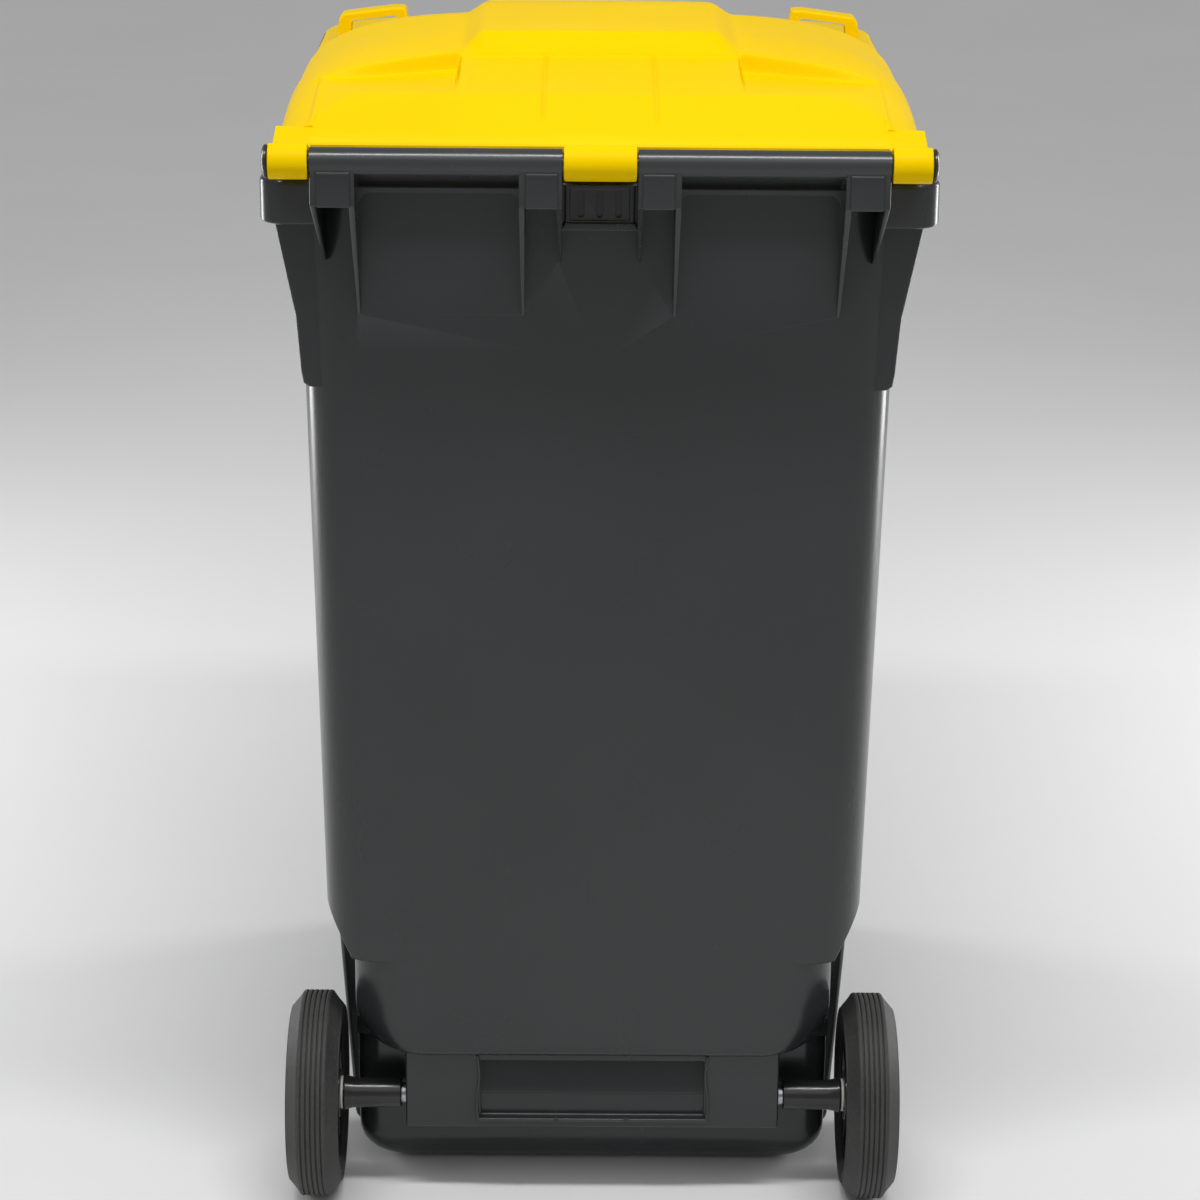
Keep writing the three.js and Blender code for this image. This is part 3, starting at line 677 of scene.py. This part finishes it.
def lid_top(x, y):
    """Height of the lid's upper surface."""
    ax = np.abs(x)
    across = np.minimum(1, ax / lid_half(y))
    power = mix(LID["rear_power"], LID["power"], smooth(y, -240, -20))
    rounding = (1 - across ** power) ** LID["fall"]
    crest, edge = LID["crest"], LID["edge"]
    t = np.clip((y - LID["crest_y"]) / (LID["front"] - LID["crest_y"]), 0, 1)
    back = crest - LID["back"] * (LID["crest_y"] - y) ** 2
    ahead = mix(edge + 2, crest, 0.5 * (1 + np.cos(np.pi * t ** 0.7)))
    dome = mix(edge, np.where(y <= LID["crest_y"], back, ahead), rounding)
    slope = mix(edge, SLOPE["z"] + SLOPE["rise"] * (y - SLOPE["y"]), np.minimum(1, rounding * 1.25))
    low = lower_of(dome, slope, 1.2)

    beyond = y - wall_line(x)
    middle = 1 - smooth(ax, SHELF["half_in"] - 3, SHELF["half_in"] + 2)
    ramp = mix(SHELF["z"], SHELF["ramp_top"], (y - SHELF["start"]) / (SHELF["inner_y"] - SHELF["start"]))
    cap = mix(SHELF["z"], np.maximum(ramp, SHELF["z"]), middle)
    outside = smooth(ax, SHELF["half"] - 5, SHELF["half"] + 2)
    z = mix(lower_of(low, cap, 1.0), low, np.maximum(smooth(beyond, -7, 0), outside))

    slanted = smooth(ax, SHELF["half_in"] - 8, SHELF["half_in"] + 4) * (1 - smooth(ax, 258, 266))
    z = z + BEADS["wall"] * ridge(beyond - 2, 3) * slanted
    beside = smooth(-y, 222, 230) * (1 - smooth(-y, 342, 349))
    z = z + BEADS["side"] * ridge(ax - BEADS["side_x"], 2.6) * beside
    narrow = smooth(-y, 160, 175) * (1 - smooth(-y, 330, 345))
    z = z + BEADS["middle"] * ridge(ax - BEADS["middle_x"], 2) * narrow

    side = 1 - smooth(ax, BULGE["half"], BULGE["half"] + BULGE["flank"])
    rear = smooth(y, BULGE["rear"], BULGE["rear"] + BULGE["ramp"])
    height = BULGE["height"] + BULGE["swell"] * np.maximum(0, LID["crest_y"] - y) ** 2
    return z + height * side * rear * (1 - smooth(y, *BULGE["fade"]))


def spaced(stops):
    """Values that run through stops of (value, step up to the next one)."""
    values = []
    for (low, step), (high, _) in zip(stops, stops[1:]):
        values.extend(np.linspace(low, high, max(1, round((high - low) / step)) + 1)[:-1])
    return np.array(values + [stops[-1][0]])


def lid_grid():
    """Columns and rows of points over the lid, closer together where its shape turns."""
    edge = LID["half"]
    half = spaced([
        (0, 6), (44, 1), (56, 6), (100, 3), (122, 1.2), (138, 6), (240, 1.2), (268, 2), (edge - 12, 1),
        (edge - 4.5, 0.5), (edge - 1, 0.15), (edge, 1),
    ]) / edge
    columns = np.r_[-half[:0:-1], half]
    rear, rows_end = LID["rear"], LID["front"]
    rows = spaced([
        (rear, 4), (-294, 1.5), (-278, 4), (-182, 1.2), (-138, 4), (-100, 9), (280, 6), (400, 3),
        (428, 0.8), (rows_end, 1),
    ])
    u, s = np.meshgrid(columns, rows)
    share = (s - rear) / (rows_end - rear)
    guess = mix(rear, rows_end - LID["corner"], share)
    x = u * lid_half(guess)
    shift = wall_line(x) - SHELF["inner_y"]
    weight = np.interp(s, [rear, SHELF["start"], -182, -138, 0], [0, 0, 1, 1, 0])
    ahead = np.clip(s / rows_end, 0, 1) ** 2 * (lid_front(x) - rows_end)
    return x, s + shift * weight + ahead


def sheets(rows, columns):
    """Faces of a grid of points and of a second grid under it, and the points round the border."""
    n = rows * columns
    faces = []
    for r in range(rows - 1):
        for c in range(columns - 1):
            a = r * columns + c
            face = (a, a + 1, a + columns + 1, a + columns)
            faces += [face, tuple(n + k for k in reversed(face))]
    border = [*range(columns), *range(2 * columns - 1, n, columns)]
    border += [*range(n - 2, n - columns - 1, -1), *range(n - 2 * columns, 0, -columns)]
    return faces, border


def lid_shell():
    """The lid's curved shell with its short skirt, open underneath."""
    x, y = lid_grid()
    skin = LID["skin"]
    rows, columns = x.shape
    top = np.dstack([x, y, lid_top(x, y)])
    dx = lid_top(x + 0.5, y) - lid_top(x - 0.5, y)
    dy = lid_top(x, y + 0.5) - lid_top(x, y - 0.5)
    steep = np.clip(np.sqrt(1 + dx ** 2 + dy ** 2), 1, 1.6)
    inner_x = x * (1 - skin / LID["half"])
    share = (y - LID["rear"]) / (lid_front(x) - LID["rear"])
    inner_y = mix(LID["rear"] + skin, lid_front(x) - skin, share)
    under = np.dstack([inner_x, inner_y, top[:, :, 2] - skin * steep])
    n = rows * columns
    faces, border = sheets(rows, columns)
    points = np.vstack([top.reshape(-1, 3), under.reshape(-1, 3)])
    outer_foot = points[border] * [1, 1, 0] + [0, 0, LID["bottom"]]
    inner_foot = points[[n + k for k in border]] * [1, 1, 0] + [0, 0, LID["bottom"]]
    points = np.vstack([points, outer_foot, inner_foot])
    m = len(border)
    for k in range(m):
        j = (k + 1) % m
        faces.append((border[k], 2 * n + k, 2 * n + j, border[j]))
        faces.append((2 * n + k, 2 * n + m + k, 2 * n + m + j, 2 * n + j))
        faces.append((2 * n + m + k, n + border[k], n + border[j], 2 * n + m + j))
    return as_object(mesh_from(points, faces))


def slope_at(y):
    return SLOPE["z"] + SLOPE["rise"] * (y - SLOPE["y"])


def knuckle(low, high):
    barrel = rounded(rod(KNUCKLE["radius"], low, high), 1.2)
    lip_y, rear = LID["lip"], LID["rear"]
    arm = prism([
        (HINGE_Y + 6, HINGE_Z + 14), (lip_y - 15, slope_at(lip_y) - 2), (lip_y + 1, slope_at(lip_y) - 1),
        (lip_y + 12, slope_at(lip_y + 12) - 0.6), (rear + 3, slope_at(rear) - 1),
        (rear + 3, UPSTAND_TOP + 6), (lip_y, UPSTAND_TOP + 6),
        (HINGE_Y + 9, HINGE_Z - 12.4), (HINGE_Y, HINGE_Z),
    ], "X", low + 0.2, high - 0.2)
    return [barrel, rounded(arm, 1, angle=40)]


def lid_lip():
    """The lip along the lid's rear edge, turned down in front of the grip bars."""
    root, lip = LID["rear"] + 2, LID["lip"]
    outline = [(root, slope_at(root) - 0.02), (lip + 5, slope_at(lip + 5) - 0.02)]
    outline += [(lip + 1.6, slope_at(lip) - 0.4), (lip, slope_at(lip) - 2.2), (lip, slope_at(lip) - 7)]
    outline += [(lip + 3, slope_at(lip) - 8), (lip + 6, slope_at(lip) - 3), (root, slope_at(root) - 4)]
    return prism(outline, "X", -KNUCKLE["inner"] - 1, KNUCKLE["inner"] + 1)


def strap_handle():
    """A strap handle near a front corner of the lid, open from front to back."""
    inner, outer, top, low = LOOP["inner"], LOOP["outer"], LOOP["inner_top"], LOOP["outer_top"]
    outline = [(inner - 8, 1030), (inner, top), (inner + 12, top), (outer - 4, low), (outer, low - 6)]
    made = prism(outline + [(outer + 4, 1026)], "Y", LOOP["y"], LOOP["y"] + LOOP["depth"])
    rounded(made, 3, only=lambda m, d: m.z > 1050)
    hole = prism([
        (inner + 6, 1020), (inner + 9, top - 8), (outer - 13, low - 7), (outer - 10, 1020),
    ], "Y", LOOP["y"] - 3, LOOP["y"] + LOOP["depth"] + 3)
    rounded(hole, 3, only=lambda m, d: m.z > 1050)
    return cut(made, hole)


def under_lid():
    """A block that fills the lid up to the middle of its shell, to trim what is joined on top of it."""
    x, y = lid_grid()
    x, y = x[::3, ::3], y[::3, ::3]
    rows, columns = x.shape
    top = np.dstack([x * 0.997, y, lid_top(x, y) - 1.5]).reshape(-1, 3)
    points = np.vstack([top, top * [1, 1, 0] + [0, 0, LID["bottom"] - 20]])
    n = rows * columns
    faces, border = sheets(rows, columns)
    for a, b in zip(border, border[1:] + border[:1]):
        faces.append((a, n + a, n + b, b))
    return as_object(mesh_from(points, faces))


def lid_mesh():
    """The lid as one moulding, with its knuckles, lip and strap handles, bored for the pins."""
    shell = union(lid_shell(), lid_lip())
    for part in knuckle(-KNUCKLE["centre"], KNUCKLE["centre"]):
        shell = union(shell, part)
    for part in knuckle(KNUCKLE["inner"], KNUCKLE["outer"]):
        other = mirrored(part)
        shell = union(shell, part, other)
    strap = cut(strap_handle(), under_lid())
    shell = union(shell, mirrored(strap), strap)
    for side in (1, -1):
        ends = sorted((side * 3.6, side * (KNUCKLE["outer"] + 2)))
        shell = cut(shell, rod(PIN_BORE, *ends))
    return shell


# ---------- wheels, axle and small pieces ----------
WHEEL_HALF = (TYRE_HIGH.x - TYRE_LOW.x) / 2
WHEEL_RADIUS = (TYRE_HIGH.z - TYRE_LOW.z) / 2
SEAT = 72
BUSH_RADIUS = 14
LATCH_X = 280
LATCH_TOP = 42
BOLT = 4  # radius of the latch bolts


def tyre_mesh(side):
    """A solid rubber tyre: six ribs on the tread, bevelled shoulders and fine rings on the sidewalls."""
    c, radius, half = WHEEL_X, WHEEL_RADIUS, WHEEL_HALF
    tread, groove, depth = 13.6, 0.55, 1.7
    crown = [(radius - 7, -18.4), (radius - 3.2, -tread - 2), (radius - 1, -tread - 0.6)]
    crown.append((radius - 0.2, -tread + 0.6))
    for middle in np.linspace(-9.6, 9.6, 5):
        crown += [(radius, middle - groove - 0.7), (radius - 0.4, middle - groove - 0.1)]
        crown += [(radius - depth, middle - groove + 0.2), (radius - depth, middle + groove - 0.2)]
        crown += [(radius - 0.4, middle + groove + 0.1), (radius, middle + groove + 0.7)]
    crown += [(r, -x) for r, x in reversed(crown[:4])]
    rings = []
    for k in range(4):
        r = SEAT + 4 + 2.6 * k
        rings += [(r, half - 0.8), (r + 0.4, half), (r + 1.7, half), (r + 2.1, half - 0.8)]
    outer = [(SEAT, half - 4.4), (SEAT + 2.5, half - 1.6), *rings, (SEAT + 16, half - 2.2)]
    inner = [(r, -x) for r, x in outer]
    profile = [*inner, *crown, *reversed(outer)]
    return lathe([(r, c + x) for r, x in profile], side, 160)


def wheel_mesh(side):
    """The wheel's hub: a dished web with ribs, and the slot that guides the latch bolt."""
    c = WHEEL_X
    seat, bore, hub = SEAT - 0.3, BUSH_RADIUS + 0.4, 24
    profile = [
        (bore, c - 22.6), (hub - 1, c - 22.6), (hub, c - 21.6), (hub + 1.2, c - 7), (hub + 4, c - 4.6),
        (seat - 14, c - 3), (seat - 10.5, c - 5), (seat - 8, c - 18.4), (seat - 7, c - 19.3),
        (seat, c - 19.3), (seat, c + 19.3), (seat - 6, c + 19.3), (seat - 7.4, c + 18.4),
        (seat - 9.6, c + 7), (seat - 13, c + 5), (hub + 4, c + 5), (hub + 1.6, c + 7), (hub, c + 20),
        (bore, c + 20),
    ]
    made = lathe(profile, side, 96)
    for k in range(8):
        rib = block((c - 19, c - 2), (AXLE_Y - 1.5, AXLE_Y + 1.5), (AXLE_Z + hub - 2, AXLE_Z + seat - 6))
        turn = Matrix.Rotation(math.radians(45 * k + 22.5), 4, "X")
        about = Matrix.Translation((0, AXLE_Y, AXLE_Z))
        rib.data.transform(about @ turn @ about.inverted())
        rounded(rib, 0.6)
        made = union(made, rib if side > 0 else swapped(rib))
    tower = block((c + 4, c + 20), (AXLE_Y - 10, AXLE_Y + 10), (AXLE_Z + 20, AXLE_Z + LATCH_TOP + 3))
    slot = block((LATCH_X - 6.6, c + 21), (AXLE_Y - 6.6, AXLE_Y + 6.6), (AXLE_Z + 25.6, AXLE_Z + LATCH_TOP))
    hole = rod_up(BOLT + 0.4, LATCH_X, AXLE_Y, AXLE_Z + 8, AXLE_Z + 30)
    tools = [tower, slot, hole]
    if side < 0:
        tools = [swapped(t) for t in tools]
    return cut(union(made, tools[0]), *tools[1:])


def swapped(obj):
    """The same piece on the other side of the bin, instead of this one."""
    other = mirrored(obj)
    bpy.data.objects.remove(obj)
    return other


def cap_mesh(side):
    """The cap that covers the hub, with a shallow dish and a raised rim."""
    outer, web = CAP_HIGH.x, WHEEL_X + 5.6
    inner = outer - 4.6
    return lathe([
        (47, web), (50, web), (50, inner), (54, inner), (54, inner + 1.4), (53.2, inner + 2.6),
        (50, outer - 0.6), (47.5, outer), (45.5, outer - 0.4), (43, outer - 1.5), (20, outer - 1.1),
        (16, outer - 0.3),
        (0, outer - 0.1), (0, inner + 1), (47, inner + 1),
    ], side, 96)


def sleeve_mesh(side):
    """The sleeve on the axle between the housing and the wheel, flared at the wheel."""
    low, high, bore = SLEEVE_LOW.x, SLEEVE_HIGH.x, AXLE_BORE
    return lathe([
        (bore, low), (13.4, low), (14.5, low + 1.2), (14.5, high - 14), (14.9, high - 10), (16, high - 5),
        (17, high - 1.4), (16.4, high), (bore, high),
    ], side, 64)


def axle_mesh():
    """The steel axle, with a groove near each end for the latch bolts."""
    low, high = (corner.x for corner in box_mm("axle"))
    half = (high - low) / 2
    ends = [(0, -half), (8.5, -half), (10, -half + 1.5), (10, -LATCH_X - 5.2), (7.4, -LATCH_X - 4.2)]
    ends += [(7.4, -LATCH_X + 4.2), (10, -LATCH_X + 5.2)]
    return lathe(ends + [(r, -x) for r, x in reversed(ends)], 1, 64)


def bush_mesh(side):
    """The nylon bearing in the hub, with a flange at its inner end and a hole for the bolt."""
    low, high, radius = WHEEL_X - 25, WHEEL_X + 20, BUSH_RADIUS
    made = lathe([
        (AXLE_BORE, low), (15.6, low), (16, low + 0.4), (16, low + 2), (radius, low + 2),
        (radius, high - 0.6), (radius - 0.6, high), (AXLE_BORE, high),
    ], side, 64)
    return cut(made, rod_up(BOLT + 0.4, side * LATCH_X, AXLE_Y, AXLE_Z, AXLE_Z + 40))


def bolt_mesh(side):
    """The latch bolt: a chamfered pin with a collar under its spring."""
    x, top = side * LATCH_X, AXLE_Z + 28
    shaft = rounded(rod_up(BOLT, x, AXLE_Y, AXLE_Z + 8.2, top), 0.8, angle=60)
    collar_disc = rounded(rod_up(6, x, AXLE_Y, top - 2, top), 0.4, angle=60)
    return union(shaft, collar_disc)


def spring_mesh(side):
    """A round wire wound four times, with flat closed ends."""
    low, high = AXLE_Z + 29.1, AXLE_Z + LATCH_TOP - 1.1
    turns, steps, sides, wire = 4, 36, 10, 0.7
    rings = []
    for k in range(turns * steps + 1):
        t = k / (turns * steps)
        a = 2 * math.pi * turns * t
        outward = np.array([math.cos(a), math.sin(a), 0])
        centre = np.array([side * LATCH_X, AXLE_Y, mix(low, high, t)]) + 4.4 * outward
        around = np.radians(np.linspace(0, 360, sides, endpoint=False))
        up = np.array([0, 0, 1])
        rings.append([centre + wire * (math.cos(b) * outward + math.sin(b) * up) for b in around])
    return face_out(loft(rings))


def pin_mesh(side):
    """The hinge pin: a rod with a rounded head outside the outer knuckle."""
    head, end = KNUCKLE["outer"] + 0.4, PIN_HIGH.x
    profile = [
        (0, 4), (5, 4), (6, 5), (6, head), (13.6, head), (14.5, head + 1), (14.5, head + 2.6), (13, end - 1),
        (10.5, end), (4, end), (3.4, end - 0.8), (0, end - 0.8),
    ]
    made = lathe(profile, side, 64)
    made.data.transform(Matrix.Translation((0, HINGE_Y - AXLE_Y, HINGE_Z - AXLE_Z)))
    return made


def plug_mesh():
    """The round plug of the transponder nest under the front rim."""
    made = rod_up(NEST["radius"], 0, NEST["y"], NEST["bottom"] + 0.5, NEST["top"] - 0.5, 64)
    return rounded(made, 0.8, angle=60)


# ---------- materials ----------
class Nodes:
    """A material under construction: makes and links shader nodes in few words."""

    def __init__(self, name):
        self.material = bpy.data.materials.new(name)
        self.material.use_nodes = True
        self.tree = self.material.node_tree
        self.shader = self.tree.nodes["Principled BSDF"]
        self.coords = self.tree.nodes.new("ShaderNodeTexCoord").outputs["Object"]

    def link(self, value, socket):
        if isinstance(value, bpy.types.NodeSocket):
            self.tree.links.new(value, socket)
        else:
            socket.default_value = value

    def noise(self, scale, detail=3, rough=0.5, stretch=(1, 1, 1)):
        place = self.tree.nodes.new("ShaderNodeMapping")
        place.inputs["Scale"].default_value = stretch
        self.tree.links.new(self.coords, place.inputs["Vector"])
        node = self.tree.nodes.new("ShaderNodeTexNoise")
        node.inputs["Scale"].default_value = scale
        node.inputs["Detail"].default_value = detail
        node.inputs["Roughness"].default_value = rough
        self.tree.links.new(place.outputs["Vector"], node.inputs["Vector"])
        return node.outputs["Fac"]

    def cells(self, scale):
        node = self.tree.nodes.new("ShaderNodeTexVoronoi")
        node.inputs["Scale"].default_value = scale
        self.tree.links.new(self.coords, node.inputs["Vector"])
        return node.outputs["Distance"]

    def spread(self, value, low, high, to_low, to_high):
        node = self.tree.nodes.new("ShaderNodeMapRange")
        self.link(value, node.inputs["Value"])
        for name, number in (("From Min", low), ("From Max", high), ("To Min", to_low), ("To Max", to_high)):
            node.inputs[name].default_value = number
        return node.outputs["Result"]

    def math(self, operation, a, b=0.0):
        node = self.tree.nodes.new("ShaderNodeMath")
        node.operation = operation
        self.link(a, node.inputs[0])
        self.link(b, node.inputs[1])
        return node.outputs["Value"]

    def blend(self, share, a, b):
        node = self.tree.nodes.new("ShaderNodeMix")
        node.data_type = "RGBA"
        self.link(share, node.inputs[0])
        self.link(a, node.inputs[6])
        self.link(b, node.inputs[7])
        return node.outputs[2]

    def convex_edges(self):
        """High on convex edges, low in corners. The tub and tyre use it for worn edges; the lid uses it for
        worn edges with a painted highlight.
        """
        geometry = self.tree.nodes.new("ShaderNodeNewGeometry")
        return geometry.outputs["Pointiness"]

    def bump(self, *layers):
        """Stacks bumps given as (height, distance in metres)."""
        normal = None
        for height, distance in layers:
            node = self.tree.nodes.new("ShaderNodeBump")
            node.inputs["Strength"].default_value = 1
            node.inputs["Distance"].default_value = distance
            self.tree.links.new(height, node.inputs["Height"])
            if normal:
                self.tree.links.new(normal, node.inputs["Normal"])
            normal = node.outputs["Normal"]
        self.tree.links.new(normal, self.shader.inputs["Normal"])

    def set(self, **values):
        for name, value in values.items():
            self.link(value, self.shader.inputs[name.replace("_", " ")])
        return self.material


def srgb(r, g, b):
    """A colour given in display values from 0 to 255, as linear light."""
    values = (r / 255, g / 255, b / 255)
    linear = [v / 12.92 if v <= 0.04045 else ((v + 0.055) / 1.055) ** 2.4 for v in values]
    return (*linear, 1)


def tub_plastic():
    """Anthracite moulded polyethylene: satin, faintly grained, a little wavy and lightly scuffed."""
    n = Nodes("tub_plastic")
    cloudy = n.noise(3.0, 2)
    scuffs = n.noise(30, 4, 0.65, (1, 1, 0.12))
    rubbed = n.spread(scuffs, 0.62, 0.78, 0, 1)
    base = n.blend(n.spread(cloudy, 0.3, 0.7, 0, 1), srgb(41, 43, 44), srgb(46, 48, 49))
    colour = n.blend(n.math("MULTIPLY", rubbed, 0.12), base, srgb(60, 62, 63))
    edge_share = n.spread(n.convex_edges(), 0.53, 0.6, 0, 0.4)
    colour = n.blend(edge_share, colour, srgb(70, 72, 73))
    grain = n.noise(1400, 2, 0.6)
    rough = n.math("ADD", n.spread(n.noise(14, 3), 0.3, 0.7, 0.2, 0.28), n.math("MULTIPLY", rubbed, 0.08))
    n.bump((n.noise(5.5, 1), 0.0012), (n.noise(60, 2), 0.00006), (grain, 0.000018))
    return n.set(Base_Color=colour, Roughness=rough, Specular_IOR_Level=0.5)


def lid_plastic():
    """Yellow moulded polyethylene: glossy, with slow waves in its surface and a fine grain."""
    n = Nodes("lid_plastic")
    base = n.blend(n.spread(n.noise(4, 2), 0.3, 0.7, 0, 1), srgb(240, 199, 0), srgb(244, 205, 0))
    # Paler yellow on convex edges: partly wear, partly a painted highlight along the lid's edges.
    edge_share = n.spread(n.convex_edges(), 0.53, 0.6, 0, 0.35)
    colour = n.blend(edge_share, base, srgb(250, 214, 40))
    rough = n.spread(n.noise(11, 3), 0.3, 0.7, 0.34, 0.42)
    n.bump((n.noise(6, 1), 0.0003), (n.noise(420, 2), 0.000006))
    return n.set(Base_Color=colour, Roughness=rough, Specular_IOR_Level=0.03)


def black_plastic():
    """Black moulded plastic with a mottled gloss."""
    n = Nodes("black_plastic")
    colour = n.blend(n.noise(40, 3), srgb(30, 30, 31), srgb(44, 44, 45))
    rough = n.spread(n.noise(55, 4, 0.6), 0.3, 0.7, 0.14, 0.27)
    n.bump((n.noise(90, 3), 0.00008), (n.noise(1500, 2), 0.000015))
    return n.set(Base_Color=colour, Roughness=rough)


def tyre_rubber():
    """Dull dark rubber with dusty specks and a fine pitted surface."""
    n = Nodes("tyre_rubber")
    dust = n.spread(n.noise(420, 4, 0.7), 0.5, 0.75, 0, 1)
    patches = n.spread(n.noise(18, 3), 0.35, 0.7, 0, 1)
    colour = n.blend(patches, srgb(44, 44, 44), srgb(58, 58, 57))
    colour = n.blend(n.math("MULTIPLY", dust, 0.5), colour, srgb(96, 95, 92))
    edge_share = n.spread(n.convex_edges(), 0.53, 0.62, 0, 0.5)
    colour = n.blend(edge_share, colour, srgb(86, 85, 82))
    n.bump((n.noise(160, 3), 0.0003), (n.noise(900, 3), 0.00008))
    return n.set(Base_Color=colour, Roughness=n.spread(dust, 0, 1, 0.62, 0.85))


def galvanised_steel():
    """Zinc-plated steel with drawn lines round it and a spangled tint."""
    n = Nodes("galvanised_steel")
    spangle = n.cells(220)
    colour = n.blend(n.spread(spangle, 0, 0.7, 0, 1), srgb(196, 199, 203), srgb(164, 168, 173))
    lines = n.noise(900, 2, 0.5, (1, 0.08, 0.08))
    rough = n.spread(n.noise(120, 3), 0.3, 0.7, 0.22, 0.4)
    n.bump((lines, 0.00002), (n.noise(300, 3), 0.00003))
    return n.set(Base_Color=colour, Roughness=rough, Metallic=1.0)


def nylon():
    """Off-white nylon, waxy and slightly see-through."""
    n = Nodes("nylon")
    colour = n.blend(n.noise(60, 3), srgb(205, 203, 192), srgb(222, 220, 210))
    n.bump((n.noise(300, 3), 0.00004),)
    return n.set(
        Base_Color=colour, Roughness=n.spread(n.noise(90, 2), 0.3, 0.7, 0.38, 0.52), Subsurface_Weight=0.15,
        Subsurface_Radius=(0.004, 0.004, 0.003), Subsurface_Scale=0.5,
    )


# ---------- build the bin ----------
def build_bin():
    tub, lid, black, rubber, steel, white = (
        make() for make in (tub_plastic, lid_plastic, black_plastic, tyre_rubber, galvanised_steel, nylon)
    )
    piece(tub_mesh(), "tub_body", "root", tub, ["tub"])
    piece(lid_mesh(), "lid_shell", "lid", lid, ["lid"])
    piece(axle_mesh(), "steel_axle", "root", steel, ["axle"])
    piece(plug_mesh(), "nest_plug", "root", black, ["transponder_plug"])
    for word, side in (("left", -1), ("right", 1)):
        wheel, latch = "wheel_" + word, "latch_" + word
        rows = (
            (pin_mesh, "pin", "root", black, "black_plastic", "hinge_pin_"),
            (sleeve_mesh, "sleeve", "root", black, "black_plastic", "axle_sleeve_"),
            (tyre_mesh, "tyre", wheel, rubber, "tyre_rubber", "tyre_"),
            (wheel_mesh, "hub", wheel, black, "black_plastic", "wheel_hub_"),
            (bush_mesh, "bush", wheel, white, "nylon", "hub_bush_"),
            (cap_mesh, "cap", wheel, black, "black_plastic", "hub_cap_"),
            (spring_mesh, "spring", wheel, steel, "galvanised_steel", "latch_spring_"),
            (bolt_mesh, "bolt", latch, white, "nylon", "latch_bolt_"),
        )
        for make, name, body, material, slot, node in rows:
            piece(make(side), name + "_" + word + "_fine", body, material, [node + word])


build_bin()


# ---------- floor, world and light ----------
def make_floor():
    """A plain pale floor, far larger than any view of the bin."""
    size = 60
    floor = as_object(mesh_from(
        [(-size, -size, 0), (size, -size, 0), (size, size, 0), (-size, size, 0)], [(0, 1, 2, 3)],
    ), "floor")
    n = Nodes("floor_paint")
    tint = n.blend(n.noise(2, 3), srgb(236, 236, 236), srgb(242, 242, 242))
    n.bump((n.noise(60, 3), 0.0002),)
    floor.data.materials.append(n.set(Base_Color=tint, Roughness=0.7))


def make_world():
    world = bpy.data.worlds.new("studio")
    world.use_nodes = True
    background = world.node_tree.nodes["Background"]
    background.inputs["Color"].default_value = (1, 1, 1, 1)
    background.inputs["Strength"].default_value = 0.3
    bpy.context.scene.world = world


def soft_light(name, place, target, size, power):
    """A rectangular studio light that the camera doesn't see."""
    data = bpy.data.lights.new(name, "AREA")
    data.shape = "RECTANGLE"
    data.size, data.size_y = size
    data.energy = power
    light = bpy.data.objects.new(name, data)
    light.location = place
    light.rotation_mode = "QUATERNION"
    light.rotation_quaternion = (Vector(target) - Vector(place)).to_track_quat("-Z", "Y")
    light.visible_camera = False
    bpy.context.scene.collection.objects.link(light)


def sunlight(direction, strength, softness):
    data = bpy.data.lights.new("sky_glow", "SUN")
    data.energy = strength
    data.angle = math.radians(softness)
    light = bpy.data.objects.new("sky_glow", data)
    light.rotation_mode = "QUATERNION"
    light.rotation_quaternion = Vector(direction).to_track_quat("Z", "Y")
    bpy.context.scene.collection.objects.link(light)


def make_lights():
    middle = (0, 0, 0.6)
    sunlight((0.1, -0.5, 0.85), 0.45, 50)
    soft_light("left_strip", (-2.3, 1.2, 0.6), middle, (0.7, 1.8), 34)
    soft_light("right_strip", (2.3, 1.2, 0.6), middle, (0.7, 1.8), 38)
    soft_light("overhead", (0, -1.1, 3.2), (0, -0.42, 1.0), (2.6, 0.3), 52)


make_floor()
make_world()
make_lights()
bpy.context.scene.view_settings.view_transform = "Standard"
